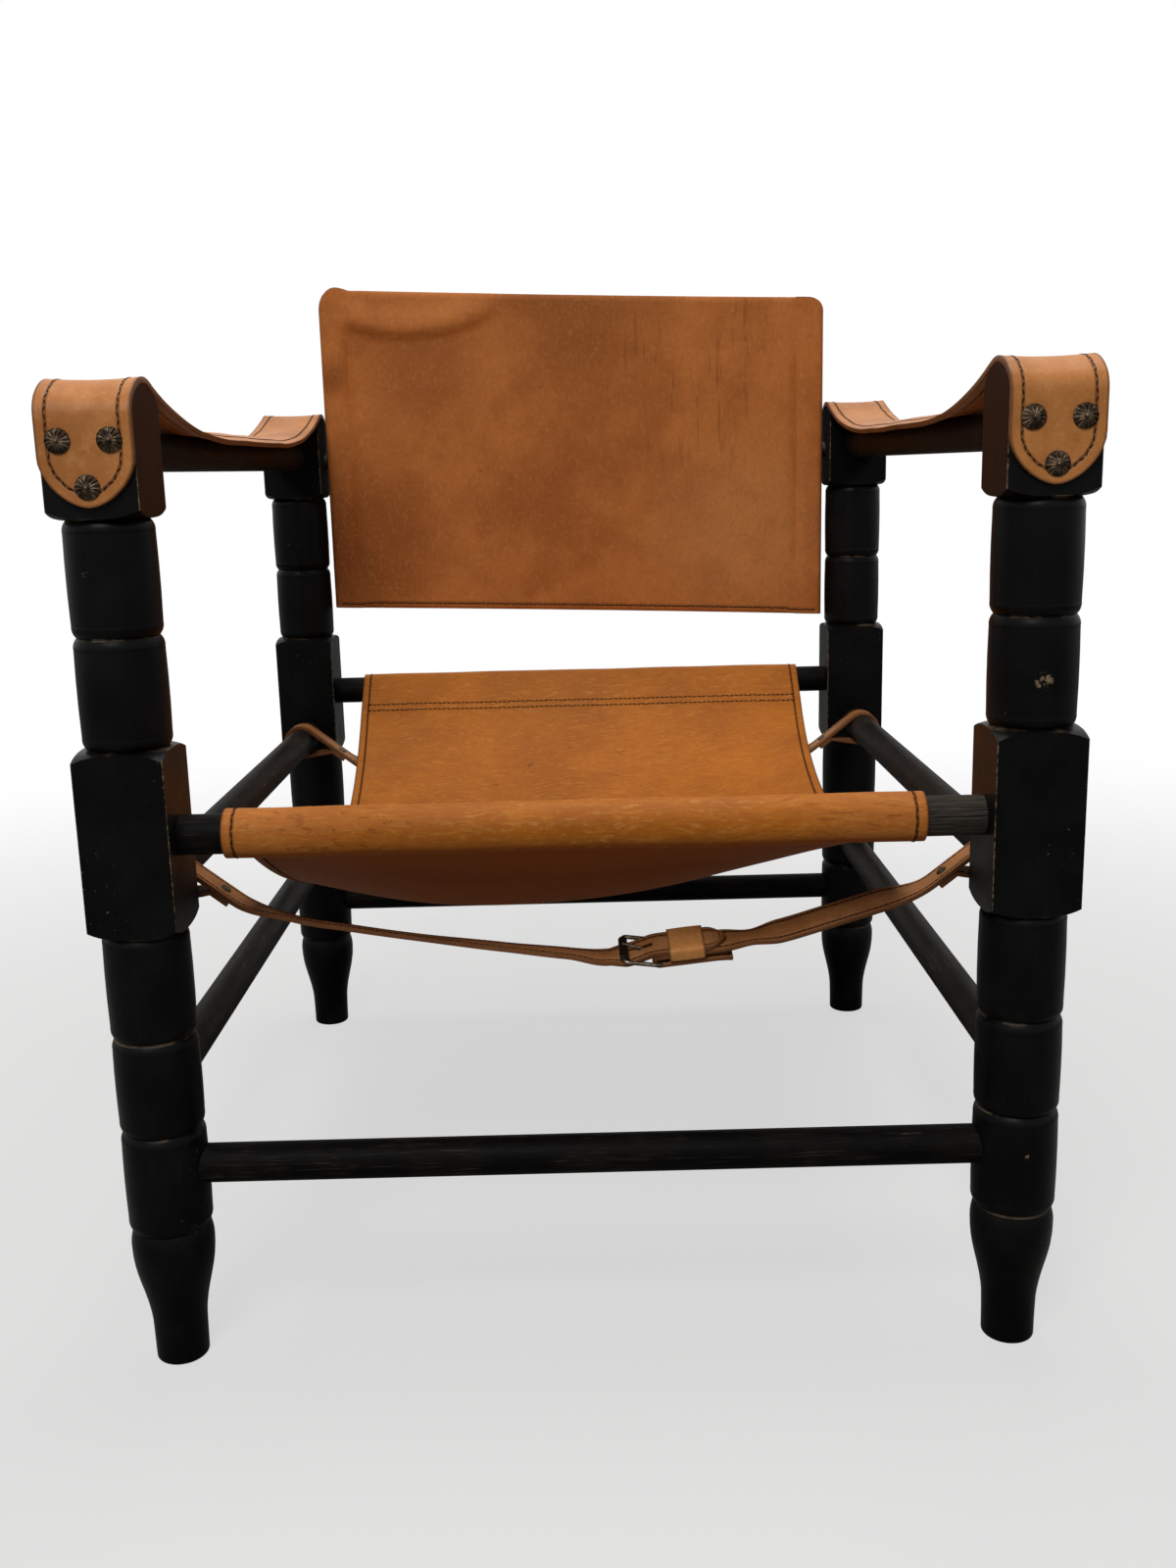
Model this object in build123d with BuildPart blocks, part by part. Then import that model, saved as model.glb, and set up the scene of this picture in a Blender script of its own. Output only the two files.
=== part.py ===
from build123d import *

import os
from math import atan, atan2, cos, degrees, hypot, radians, sin, tan

# Campaign chair: turned and painted posts and rails, a leather sling seat, leather arm straps,
# a pivoting leather back and two buckled belts that draw the dry joints tight.
# Millimetres. Origin on the floor at the middle of the chair, the front faces -Y, +Z is up.

os.makedirs("parts", exist_ok=True)

# Layout of the frame
post_span_x = 600.0
post_span_y = 660.0
post_height = 681.0
block_side = 60.0
cut_over = 1.0
wood_fit = 0.15
leather_fit = 0.2

# Heights on a post
foot_groove_z = 103.5
low_groove_z = 177.5
knee_groove_z = 246.5
mid_block_low = 322.0
mid_block_high = 448.4
top_block_height = 84.0
arm_groove_share = 0.4953

# Turned outline of a post
groove_r = 26.4
barrel_r = 29.0
belly_r = 29.4
barrel_end = 8.0
barrel_end_shares = (0.72, 0.35)
foot_r = 18.5
foot_round = 2.0
ankle_r = 18.9
ankle_z = 24.0
calf_r = 23.8
calf_z = 57.0
bulb_r = 28.8
bulb_z = 89.0
bulb_top_r = 28.2
bulb_top_z = 97.5

# Rounded shoulders of the square blocks, and the arched crown
pommel_arc_r = 30.0
pommel_centre_r = 24.0
arch_rise = 20.0
arch_corner_r = 14.0
block_edge_r = 1.2

# Rails, all round bars with round tenons
seat_rail_r = 13.75
seat_rail_z = 387.0
side_rail_r = 14.0
side_rail_z = 343.0
stretcher_r = 13.75
end_stretcher_z = 148.0
side_stretcher_z = 203.0
arm_rail_r = 13.5
arm_rail_drop = 41.0
tenon_r = 9.5
tenon_length = 25.0
tenon_chamfer = 1.0
tenon_end_gap = 0.5
shoulder_sink = 5.0

# Arm straps and their studs
strap_width = 60.0
strap_t = 4.0
strap_tip_drop = 76.0
strap_leave_deg = 18.0
strap_flat_half = 120.0
strap_droop = 7.0
strap_station_shares = (1.0, 0.86, 0.7, 0.52, 0.34, 0.16, 0.0)
stud_head_r = 7.9
stud_head_h = 3.2
stud_rim_h = 1.0
stud_bead_r = 1.5
stud_pin_r = 1.1
stud_pin_length = 15.0
stud_pin_fit = 0.05
stud_flute_r = 1.1
stud_petals = 14
stud_spread = 16.0
stud_high_drop = 35.0
stud_low_drop = 63.5

# Seat sling
sling_width = 470.0
sling_t = 3.0
sling_leave_deg = 43.0
sling_loop_length = 27.0
sling_hem = 16.0
sling_run_on = 3.0
sling_centre_z = 254.0
sling_edge_z = 304.0
sling_waist = 10.0
sling_station_shares = (0.0, 0.12, 0.3, 0.5, 0.7, 0.88, 1.0)

# Backrest
back_pivot_drop = 45.0
back_pivot_set_back = 8.0
back_rise = 119.0
back_height_share = 0.8
back_leather_t = 3.0
back_sag = 9.0
back_side_hem = 26.0
back_top_hem = 28.0
back_low_hem = 14.0
sleeve_corner_r = 6.0
upright_w = 22.0
upright_d = 18.0
upright_corner_r = 3.0
upright_end_gap = 16.0
bolt_r = 3.0
bolt_fit = 0.06
bolt_hole_fit = 0.1
bolt_head_r = 8.0
bolt_head_h = 4.0
bolt_end_gap = 1.0
bolt_leather_fit = 0.4
washer_r = 9.0
washer_t = 3.0
washer_fit = 0.1
side_clearance = 0.3

# Belts
belt_width = 25.0
belt_t = 3.2
belt_set_in = 28.0
rear_belt_set_in = 38.0
belt_leave_deg = 38.0
belt_loop_length = 32.0
belt_tab = 16.0
belt_run_on = 2.0
belt_mid_z = 273.0
belt_tilt_deg = 18.0
belt_rise_deg = 6.0
left_belt_x = (209.0, 172.0, 127.0, 60.0)
left_belt_z = (308.0, 300.6, 292.8, 283.0)
left_belt_fall_deg = (17.0, 10.5, 9.0, 8.0)
right_belt_x = (209.0, 175.0, 142.0)
right_belt_z = (309.7, 299.5, 290.0)
right_belt_fall_deg = (17.0, 16.5, 13.5)
belt_rivet_r = 1.6
belt_rivet_head_r = 4.2
belt_rivet_head_h = 1.2
belt_rivet_fit = 0.05
belt_rivet_taper_deg = 30.0
front_left_twist_deg = -12.0
front_right_twist_deg = 18.0
rear_twist_deg = 25.0

# Buckle, in the belt's own plane: x along the belt, n across its thickness
hinge_bar_x = 53.0
roller_bar_x = 28.0
roller_bar_n = 3.4
wire_r = 1.6
wire_fit = 0.2
frame_side_gap = 1.6
frame_corner_r = 3.0
roller_r = 3.3
roller_fit = 0.08
roller_half = 11.5
under_roller_gap = 0.4
tongue_gap = 0.3
tongue_start_x = 8.0
tongue_rise_start_x = 30.5
tongue_rise_end_x = 51.5
tongue_tip_x = 102.0
tongue_bend_r = 9.0
strap_join_x = 112.0
tail_end_x = 106.0
fold_slot_w = 4.6
fold_slot_run = 4.5
prong_r = 1.1
prong_ring_r = 2.9
prong_ring_w = 3.4
prong_fit = 0.08
prong_rest_gap = 0.3
prong_overhang = 2.5
prong_hole_w = 3.6
prong_hole_x = 43.9
prong_hole_length = 11.6
keeper_x = 60.5
keeper_length = 26.0
keeper_t = 1.6
keeper_gap = 0.4
keeper_corner_r = 1.2

# Places that follow from the sizes above
half_x = post_span_x / 2
half_y = post_span_y / 2
half_block = block_side / 2
top_block_low = post_height - top_block_height
arm_groove_z = mid_block_high + (top_block_low - mid_block_high) * arm_groove_share
arm_rail_z = post_height - arm_rail_drop
strap_tip_z = post_height - strap_tip_drop
stud_high_z = post_height - stud_high_drop
stud_low_z = post_height - stud_low_drop
back_pivot_z = post_height - back_pivot_drop
back_top_z = post_height + back_rise
back_low_z = back_top_z - back_height_share * (back_top_z - seat_rail_z)
arch_spring_z = post_height - arch_rise
arch_crown_r = ((half_block - arch_corner_r) ** 2 + arch_rise**2 - arch_corner_r**2) / (
    2 * (arch_rise - arch_corner_r)
)
arch_join_deg = degrees(atan2(half_block - arch_corner_r, arch_spring_z - post_height + arch_crown_r))


def save(piece, name):
    """Label a finished piece and write it to its own file."""
    piece.label = name
    export_step(piece, f"parts/{name}.step")


def drill(origin, direction, radius, depth):
    """Cut a round hole from origin along direction in the part being built."""
    with Locations(Plane(origin=origin, z_dir=direction)):
        Cylinder(radius, depth, align=(Align.CENTER, Align.CENTER, Align.MIN), mode=Mode.SUBTRACT)


# The turned post, foot to crown, on its own axis
def barrel_outline(low, high):
    """One barrel: rounded ends at its grooves and a slight belly between."""
    rise_share, run_share = barrel_end_shares
    bend_r = groove_r + (barrel_r - groove_r) * rise_share
    bend = barrel_end * run_share
    ThreePointArc((groove_r, low), (bend_r, low + bend), (barrel_r, low + barrel_end))
    ThreePointArc((barrel_r, low + barrel_end), (belly_r, (low + high) / 2), (barrel_r, high - barrel_end))
    ThreePointArc((barrel_r, high - barrel_end), (bend_r, high - bend), (groove_r, high))


def pommel_outline(low, high, rounded_top):
    """Half outline that rounds a square block's ends when it is spun and cut with the block."""
    drop = pommel_arc_r * (1 - cos(radians(45)))
    reach = pommel_centre_r + pommel_arc_r * sin(radians(45))
    far = pommel_centre_r + pommel_arc_r
    Line((0, low), (pommel_centre_r, low))
    ThreePointArc((pommel_centre_r, low), (reach, low + drop), (far, low + pommel_arc_r))
    if rounded_top:
        Line((far, low + pommel_arc_r), (far, high - pommel_arc_r))
        ThreePointArc((far, high - pommel_arc_r), (reach, high - drop), (pommel_centre_r, high))
        Line((pommel_centre_r, high), (0, high))
    else:
        Line((far, low + pommel_arc_r), (far, high))
        Line((far, high), (0, high))
    Line((0, high), (0, low))


with BuildPart() as mid_block:
    with BuildSketch(Plane.XY.offset(mid_block_low)):
        RectangleRounded(block_side, block_side, block_edge_r)
    extrude(amount=mid_block_high - mid_block_low)
    with BuildSketch(Plane.XZ):
        with BuildLine():
            pommel_outline(mid_block_low, mid_block_high, True)
        make_face()
    revolve(axis=Axis.Z, mode=Mode.INTERSECT)

with BuildPart() as top_block:
    with BuildSketch(Plane.XY.offset(top_block_low)):
        RectangleRounded(block_side, block_side, block_edge_r)
    extrude(amount=post_height - top_block_low)
    with BuildSketch(Plane.XZ):
        with BuildLine():
            pommel_outline(top_block_low, post_height, False)
        make_face()
    revolve(axis=Axis.Z, mode=Mode.INTERSECT)
    with BuildSketch(Plane.YZ):
        with BuildLine():
            corner_y = half_block - arch_corner_r
            mid_deg = (arch_join_deg + 90) / 2
            join_y = arch_crown_r * sin(radians(arch_join_deg))
            join_z = post_height - arch_crown_r + arch_crown_r * cos(radians(arch_join_deg))
            mid_y = corner_y + arch_corner_r * sin(radians(mid_deg))
            mid_z = arch_spring_z + arch_corner_r * cos(radians(mid_deg))
            Polyline(
                (-half_block, arch_spring_z),
                (-half_block, top_block_low),
                (half_block, top_block_low),
                (half_block, arch_spring_z),
            )
            ThreePointArc((half_block, arch_spring_z), (mid_y, mid_z), (join_y, join_z))
            ThreePointArc((join_y, join_z), (0, post_height), (-join_y, join_z))
            ThreePointArc((-join_y, join_z), (-mid_y, mid_z), (-half_block, arch_spring_z))
        make_face()
    extrude(amount=half_block, both=True, mode=Mode.INTERSECT)

with BuildPart() as turned_post:
    with BuildSketch(Plane.XZ):
        with BuildLine():
            Line((0, 0), (foot_r - foot_round, 0))
            ThreePointArc(
                (foot_r - foot_round, 0),
                (foot_r - foot_round * (1 - sin(radians(45))), foot_round * (1 - cos(radians(45)))),
                (foot_r, foot_round),
            )
            Line((foot_r, foot_round), (ankle_r, ankle_z))
            Spline((ankle_r, ankle_z), (calf_r, calf_z), (bulb_r, bulb_z), tangents=[(0, 1), (0, 1)])
            ThreePointArc((bulb_r, bulb_z), (bulb_top_r, bulb_top_z), (groove_r, foot_groove_z))
            barrel_outline(foot_groove_z, low_groove_z)
            barrel_outline(low_groove_z, knee_groove_z)
            barrel_outline(knee_groove_z, mid_block_low)
            Line((groove_r, mid_block_low), (groove_r, mid_block_high))
            barrel_outline(mid_block_high, arm_groove_z)
            barrel_outline(arm_groove_z, top_block_low)
            Polyline((groove_r, top_block_low), (0, top_block_low), (0, 0))
        make_face()
    revolve(axis=Axis.Z)
    add(mid_block.part)
    add(top_block.part)

# Stud places on a strap's tongue: offset across the strap, and height
stud_places = ((-stud_spread, stud_high_z), (stud_spread, stud_high_z), (0, stud_low_z))
strap_face_y = half_y + half_block + leather_fit + strap_t
bolt_y = half_y + back_pivot_set_back


def make_post(side, end):
    """A post at its corner, with its sockets, stud holes and, at the rear, its pivot hole."""
    x = side * half_x
    y = end * half_y
    socket_r = tenon_r + wood_fit
    depth = tenon_length + tenon_end_gap
    barrel_face = belly_r - shoulder_sink
    with BuildPart() as post:
        add(turned_post.part.moved(Location((x, y, 0))))
        drill((x - side * half_block, y, seat_rail_z), (side, 0, 0), socket_r, depth)
        drill((x, y - end * half_block, side_rail_z), (0, end, 0), socket_r, depth)
        drill((x, y - end * half_block, arm_rail_z), (0, end, 0), socket_r, depth)
        for height, across in ((end_stretcher_z, True), (side_stretcher_z, False)):
            inward = (side, 0, 0) if across else (0, end, 0)
            face = (x - side * barrel_face, y, height) if across else (x, y - end * barrel_face, height)
            edge = (x - side * block_side, y, height) if across else (x, y - end * block_side, height)
            drill(edge, inward, stretcher_r + wood_fit, block_side - barrel_face)
            drill(face, inward, socket_r, depth - shoulder_sink)
        for aside, height in stud_places:
            start = (x + aside, y + end * (half_block + cut_over), height)
            drill(start, (0, -end, 0), stud_pin_r + stud_pin_fit, stud_pin_length + cut_over)
        if end > 0:
            start = (x - block_side, bolt_y, back_pivot_z)
            drill(start, (1, 0, 0), bolt_r + bolt_hole_fit, 2 * block_side)
    return post.part


corner_names = {(-1, -1): "front_left", (1, -1): "front_right", (-1, 1): "rear_left", (1, 1): "rear_right"}
for (side, end), corner in corner_names.items():
    save(make_post(side, end), f"{corner}_post")


# Rails and stretchers: a round bar between its shoulders, with a tenon at each end
def make_rail(centre, direction, half_length, radius, tenon):
    """A round bar centred on a point, with shoulders half_length away each way."""
    with BuildPart() as rail:
        with BuildSketch(Plane(origin=centre, z_dir=direction)):
            Circle(radius)
        extrude(amount=half_length, both=True)
        with BuildSketch(Plane(origin=centre, z_dir=direction)):
            Circle(tenon_r)
        extrude(amount=half_length + tenon, both=True)
        ends = rail.faces().filter_by(Axis(centre, direction)).sort_by(Axis(centre, direction))
        chamfer(ends[0].edges() + ends[-1].edges(), tenon_chamfer)
    return rail.part


block_gap_x = half_x - half_block
block_gap_y = half_y - half_block
barrel_gap_x = half_x - belly_r + shoulder_sink
barrel_gap_y = half_y - belly_r + shoulder_sink
buried_tenon = tenon_length - shoulder_sink
for end, name in ((-1, "front"), (1, "rear")):
    at = (0, end * half_y, seat_rail_z)
    save(make_rail(at, (1, 0, 0), block_gap_x, seat_rail_r, tenon_length), f"{name}_seat_rail")
    at = (0, end * half_y, end_stretcher_z)
    save(make_rail(at, (1, 0, 0), barrel_gap_x, stretcher_r, buried_tenon), f"{name}_stretcher")
for side, name in ((-1, "left"), (1, "right")):
    at = (side * half_x, 0, side_rail_z)
    save(make_rail(at, (0, 1, 0), block_gap_y, side_rail_r, tenon_length), f"{name}_seat_rail")
    at = (side * half_x, 0, side_stretcher_z)
    save(make_rail(at, (0, 1, 0), barrel_gap_y, stretcher_r, buried_tenon), f"{name}_stretcher")
    at = (side * half_x, 0, arm_rail_z)
    save(make_rail(at, (0, 1, 0), block_gap_y, arm_rail_r, tenon_length), f"{name}_arm_rail")


# Arm straps
def crown_point(end, radius, angle_deg):
    """A point over a post's crown: radius from the crown's centre, angle outward from upright."""
    centre_z = post_height - arch_crown_r
    return (end * (half_y + radius * sin(radians(angle_deg))), centre_z + radius * cos(radians(angle_deg)))


def corner_point(end, radius, angle_deg):
    """A point round the crown's corner: radius from the corner's centre, angle outward from upright."""
    centre_y = half_y + half_block - arch_corner_r
    return (end * (centre_y + radius * sin(radians(angle_deg))), arch_spring_z + radius * cos(radians(angle_deg)))


strap_in = leather_fit
strap_out = leather_fit + strap_t
strap_mid_r = arch_crown_r + leather_fit + strap_t / 2
strap_leave_y, strap_leave_z = crown_point(1, strap_mid_r, -strap_leave_deg)
strap_rest_z = arm_rail_z + arm_rail_r + leather_fit + strap_t / 2
strap_run = strap_leave_y - strap_flat_half
strap_fall = strap_leave_z - strap_rest_z
strap_power = tan(radians(strap_leave_deg)) * strap_run / strap_fall


def strap_section(x, along, share):
    """The strap's section where it hangs between the crowns, drooping at its edges over the rail."""
    y = along * (strap_flat_half + strap_run * share)
    z = strap_rest_z + strap_fall * share**strap_power
    slope = strap_power * strap_fall / strap_run * share ** (strap_power - 1) if share > 0 else 0
    tilt = atan(slope)
    plane = Plane(origin=(x, y, z), x_dir=(-1, 0, 0), z_dir=(0, cos(tilt), along * sin(tilt)))
    rim = strap_width / 2
    top = strap_t / 2
    droop = strap_droop * (1 - share)
    with BuildSketch(plane) as section:
        with BuildLine():
            if droop > 0:
                ThreePointArc((-rim, top - droop), (0, top), (rim, top - droop))
                ThreePointArc((-rim, -top - droop), (0, -top), (rim, -top - droop))
            else:
                Line((-rim, top), (rim, top))
                Line((-rim, -top), (rim, -top))
            Line((-rim, top - droop), (-rim, -top - droop))
            Line((rim, top - droop), (rim, -top - droop))
        make_face()
    return section.sketch


def make_arm_strap(side):
    """Tongue, crown wrap, hanging middle, crown wrap and tongue, in one sheet."""
    x = side * half_x
    front = [strap_section(x, -1, share) for share in strap_station_shares]
    rear = [strap_section(x, 1, share) for share in reversed(strap_station_shares)]
    with BuildPart() as strap:
        for end in (-1, 1):
            with BuildSketch(Plane.YZ.offset(x)):
                with BuildLine():
                    for extra, closing in ((strap_in, False), (strap_out, True)):
                        corner_mid = (arch_join_deg + 90) / 2
                        crown_mid = (arch_join_deg - strap_leave_deg) / 2
                        low = corner_point(end, arch_corner_r + extra, 90)
                        join = crown_point(end, arch_crown_r + extra, arch_join_deg)
                        leave = crown_point(end, arch_crown_r + extra, -strap_leave_deg)
                        ThreePointArc(low, corner_point(end, arch_corner_r + extra, corner_mid), join)
                        ThreePointArc(join, crown_point(end, arch_crown_r + extra, crown_mid), leave)
                    inner = arch_corner_r + strap_in
                    outer = arch_corner_r + strap_out
                    Line(corner_point(end, inner, 90), corner_point(end, outer, 90))
                    inner = arch_crown_r + strap_in
                    outer = arch_crown_r + strap_out
                    Line(crown_point(end, inner, -strap_leave_deg), crown_point(end, outer, -strap_leave_deg))
                make_face()
            extrude(amount=strap_width / 2, both=True)
            tongue_plane = Plane(origin=(x, end * strap_face_y, 0), x_dir=(1, 0, 0), z_dir=(0, -1, 0))
            tongue_low = strap_tip_z + strap_width / 2
            with BuildSketch(tongue_plane):
                with Locations((0, (tongue_low + arch_spring_z) / 2)):
                    Rectangle(strap_width, arch_spring_z - tongue_low)
                with Locations((0, tongue_low)):
                    Circle(strap_width / 2)
            extrude(amount=end * strap_t)
        loft(front + rear[1:])
        for end in (-1, 1):
            for aside, height in stud_places:
                start = (x + aside, end * (strap_face_y + cut_over), height)
                drill(start, (0, -end, 0), stud_pin_r + stud_pin_fit, strap_t + 2 * cut_over)
    return strap.part


with BuildPart() as stud:
    with BuildSketch(Plane.XZ):
        with BuildLine():
            Line((0, 0), (stud_head_r, 0))
            Line((stud_head_r, 0), (stud_head_r, stud_rim_h))
            dome_mid = (stud_head_r * sin(radians(45)), stud_rim_h + (stud_head_h - stud_rim_h) * cos(radians(45)))
            ThreePointArc((stud_head_r, stud_rim_h), dome_mid, (0, stud_head_h))
            Line((0, stud_head_h), (0, 0))
        make_face()
    revolve(axis=Axis.Z)
    flute_tilt = degrees(atan((stud_head_h - stud_rim_h) / stud_head_r))
    with PolarLocations(stud_head_r, stud_petals):
        with Locations(Location((0, 0, stud_rim_h + stud_flute_r / 2), (0, -90 + flute_tilt, 0))):
            Cylinder(
                stud_flute_r, stud_head_r, align=(Align.CENTER, Align.CENTER, Align.MIN), mode=Mode.SUBTRACT
            )
    with Locations((0, 0, stud_head_h)):
        Sphere(stud_bead_r)
    with Locations((0, 0, 0)):
        Cylinder(stud_pin_r, stud_pin_length, align=(Align.CENTER, Align.CENTER, Align.MAX))

for side, side_name in ((-1, "left"), (1, "right")):
    save(make_arm_strap(side), f"{side_name}_arm_strap")
    for end, end_name in ((-1, "front"), (1, "rear")):
        heads = []
        for aside, height in stud_places:
            origin = (side * half_x + aside, end * strap_face_y, height)
            heads.append(stud.part.moved(Plane(origin=origin, x_dir=(1, 0, 0), z_dir=(0, end, 0)).location))
        save(Compound(children=heads), f"{end_name}_{side_name}_arm_studs")


# Seat sling
def loop_profile(bore_r, thickness, void_length, overlap, run_on):
    """Outline of leather led round a bar and sewn to itself: u runs away from the bar, v across."""
    out_r = bore_r + thickness
    reach = hypot(void_length, bore_r)
    ux = void_length / reach
    vx = bore_r / reach
    low_u = 2 * vx * ux * bore_r
    low_v = (2 * vx * vx - 1) * bore_r
    scale = out_r / bore_r
    end_u = void_length + overlap
    normal = (low_u / bore_r, low_v / bore_r)
    with BuildSketch() as profile:
        with BuildLine():
            ThreePointArc((0, out_r), (-out_r * ux, -out_r * vx), (low_u * scale, low_v * scale))
            knee = (void_length + normal[0] * thickness, out_r - 2 * thickness)
            Line((low_u * scale, low_v * scale), knee)
            Polyline(knee, (end_u, out_r - 2 * thickness), (end_u, bore_r))
            Polyline((end_u, bore_r), (end_u + run_on, bore_r), (end_u + run_on, out_r), (0, out_r))
        make_face()
        with BuildLine():
            ThreePointArc((0, bore_r), (-bore_r * ux, -bore_r * vx), (low_u, low_v))
            Polyline((low_u, low_v), (void_length, bore_r), (0, bore_r))
        make_face(mode=Mode.SUBTRACT)
    return profile.sketch


sling_bore_r = seat_rail_r + leather_fit
sling_loop = loop_profile(sling_bore_r, sling_t, sling_loop_length, sling_hem, sling_run_on)
sling_end_u = sling_loop_length + sling_hem + sling_run_on
sling_mid_v = sling_bore_r + sling_t / 2
sling_tilt = radians(sling_leave_deg)
sling_end_y = half_y - sling_end_u * cos(sling_tilt) - sling_mid_v * sin(sling_tilt)
sling_end_z = seat_rail_z - sling_end_u * sin(sling_tilt) + sling_mid_v * cos(sling_tilt)


def sling_section(along, share):
    """A section of the sling, share 1 at a hem and 0 at the middle, bowed down between its edges."""
    y = along * sling_end_y * share
    fall = 1 - share**2
    edge_z = sling_end_z - (sling_end_z - sling_edge_z) * fall
    centre_z = sling_end_z - (sling_end_z - sling_centre_z) * fall
    slope = (2 * sling_end_z - sling_edge_z - sling_centre_z) * share / sling_end_y
    tilt = sling_tilt if share == 1 else atan(slope)
    plane = Plane(origin=(0, y, edge_z), x_dir=(-1, 0, 0), z_dir=(0, cos(tilt), along * sin(tilt)))
    rim = sling_width / 2 - sling_waist * fall
    sag = (edge_z - centre_z) * cos(tilt)
    top = sling_t / 2
    with BuildSketch(plane) as section:
        with BuildLine():
            if sag > 0:
                ThreePointArc((-rim, top), (0, top - sag), (rim, top))
                ThreePointArc((-rim, -top), (0, -top - sag), (rim, -top))
            else:
                Line((-rim, top), (rim, top))
                Line((-rim, -top), (rim, -top))
            Line((-rim, top), (-rim, -top))
            Line((rim, top), (rim, -top))
        make_face()
    return section.sketch


def loop_plane(centre, across, inward, leave_deg):
    """Plane of a loop profile: u leads inward and down at the leave angle, v is up from it."""
    tilt = radians(leave_deg)
    lead = Vector(*inward) * cos(tilt) - Vector(0, 0, 1) * sin(tilt)
    up = Vector(*inward) * sin(tilt) + Vector(0, 0, 1) * cos(tilt)
    return Plane(origin=centre, x_dir=lead, z_dir=lead.cross(up))


with BuildPart() as seat_sling:
    for end in (-1, 1):
        plane = loop_plane((0, end * half_y, seat_rail_z), (1, 0, 0), (0, -end, 0), sling_leave_deg)
        with BuildSketch(plane):
            add(sling_loop)
        extrude(amount=sling_width / 2, both=True)
    stations = [sling_section(-1, share) for share in reversed(sling_station_shares)]
    stations += [sling_section(1, share) for share in sling_station_shares[1:]]
    loft(stations)
save(seat_sling.part, "seat_sling")

# Backrest: a sheet with a sleeve down each side, on two uprights that turn on bolts
cover_x = half_x - half_block - washer_t - side_clearance
sleeve_x = cover_x - upright_w / 2 - leather_fit - back_leather_t
sleeve_in_w = upright_w + 2 * leather_fit
sleeve_in_d = upright_d + 2 * leather_fit
sleeve_out_w = sleeve_in_w + 2 * back_leather_t
sleeve_out_d = sleeve_in_d + 2 * back_leather_t
sleeve_in_corner_r = sleeve_corner_r - back_leather_t
sheet_front_y = bolt_y - sleeve_out_d / 2
sheet_rear_y = sheet_front_y + back_leather_t
sheet_edge_x = sleeve_x - sleeve_out_w / 2 + sleeve_corner_r


def sheet_band(front_y, thickness, from_x, to_x):
    """A band of the back's sheet in plan, bowed rearward between the sleeves."""

    def bow(x):
        return back_sag * (1 - (x / sheet_edge_x) ** 2)

    middle = (from_x + to_x) / 2
    with BuildSketch() as band:
        with BuildLine():
            for depth in (0, thickness):
                ThreePointArc(
                    (from_x, front_y + depth + bow(from_x)),
                    (middle, front_y + depth + bow(middle)),
                    (to_x, front_y + depth + bow(to_x)),
                )
            Line((from_x, front_y + bow(from_x)), (from_x, front_y + thickness + bow(from_x)))
            Line((to_x, front_y + bow(to_x)), (to_x, front_y + thickness + bow(to_x)))
        make_face()
    return band.sketch


with BuildPart() as back_cover:
    with BuildSketch(Plane.XY.offset(back_low_z)):
        add(sheet_band(sheet_front_y, back_leather_t, -sheet_edge_x, sheet_edge_x))
        for side in (-1, 1):
            hem_start = side * sheet_edge_x
            hem_end = side * (sheet_edge_x - back_side_hem)
            add(sheet_band(sheet_front_y, 2 * back_leather_t, min(hem_start, hem_end), max(hem_start, hem_end)))
            with Locations((side * sleeve_x, bolt_y)):
                RectangleRounded(sleeve_out_w, sleeve_out_d, sleeve_corner_r)
    extrude(amount=back_top_z - back_low_z)
    for low, tall in ((back_low_z, back_low_hem), (back_top_z - back_top_hem, back_top_hem)):
        with BuildSketch(Plane.XY.offset(low)):
            add(sheet_band(sheet_front_y, 2 * back_leather_t, -sheet_edge_x, sheet_edge_x))
        extrude(amount=tall)
    with BuildSketch(Plane.XY.offset(back_low_z)):
        for side in (-1, 1):
            with Locations((side * sleeve_x, bolt_y)):
                RectangleRounded(sleeve_in_w, sleeve_in_d, sleeve_in_corner_r)
    extrude(amount=back_top_z - back_low_z - back_leather_t, mode=Mode.SUBTRACT)
    for side in (-1, 1):
        start = (side * (cover_x + cut_over), bolt_y, back_pivot_z)
        drill(start, (-side, 0, 0), bolt_r + bolt_leather_fit, back_leather_t + 2 * cut_over)
save(back_cover.part, "back_cover")

upright_low = back_low_z + upright_end_gap
upright_high = back_top_z - back_leather_t - upright_end_gap
bolt_end_x = sleeve_x - upright_w / 2 + bolt_end_gap
bolts = []
washers = []
for side, name in ((-1, "left"), (1, "right")):
    with BuildPart() as upright:
        with BuildSketch(Plane(origin=(side * sleeve_x, bolt_y, upright_low))):
            RectangleRounded(upright_w, upright_d, upright_corner_r)
        extrude(amount=upright_high - upright_low)
        start = (side * (sleeve_x - upright_w), bolt_y, back_pivot_z)
        drill(start, (side, 0, 0), bolt_r + bolt_fit, 2 * upright_w)
    save(upright.part, f"{name}_back_upright")
    inward = (-side, 0, 0)
    outer_face = (side * (half_x + half_block), bolt_y, back_pivot_z)
    with BuildPart() as bolt:
        with BuildSketch(Plane(origin=outer_face, z_dir=inward)):
            Circle(bolt_r)
        extrude(amount=half_x + half_block - bolt_end_x)
        with BuildSketch(Plane(origin=outer_face, z_dir=(side, 0, 0))):
            Circle(bolt_head_r)
        extrude(amount=bolt_head_h)
        head_face = bolt.faces().sort_by(Axis.X)[-1 if side > 0 else 0]
        fillet(head_face.edges(), bolt_head_h / 2)
    bolts.append(bolt.part)
    post_face = (side * (half_x - half_block), bolt_y, back_pivot_z)
    with BuildPart() as washer:
        with BuildSketch(Plane(origin=post_face, z_dir=inward)):
            Circle(washer_r)
            Circle(bolt_r + washer_fit, mode=Mode.SUBTRACT)
        extrude(amount=washer_t)
    washers.append(washer.part)
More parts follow.
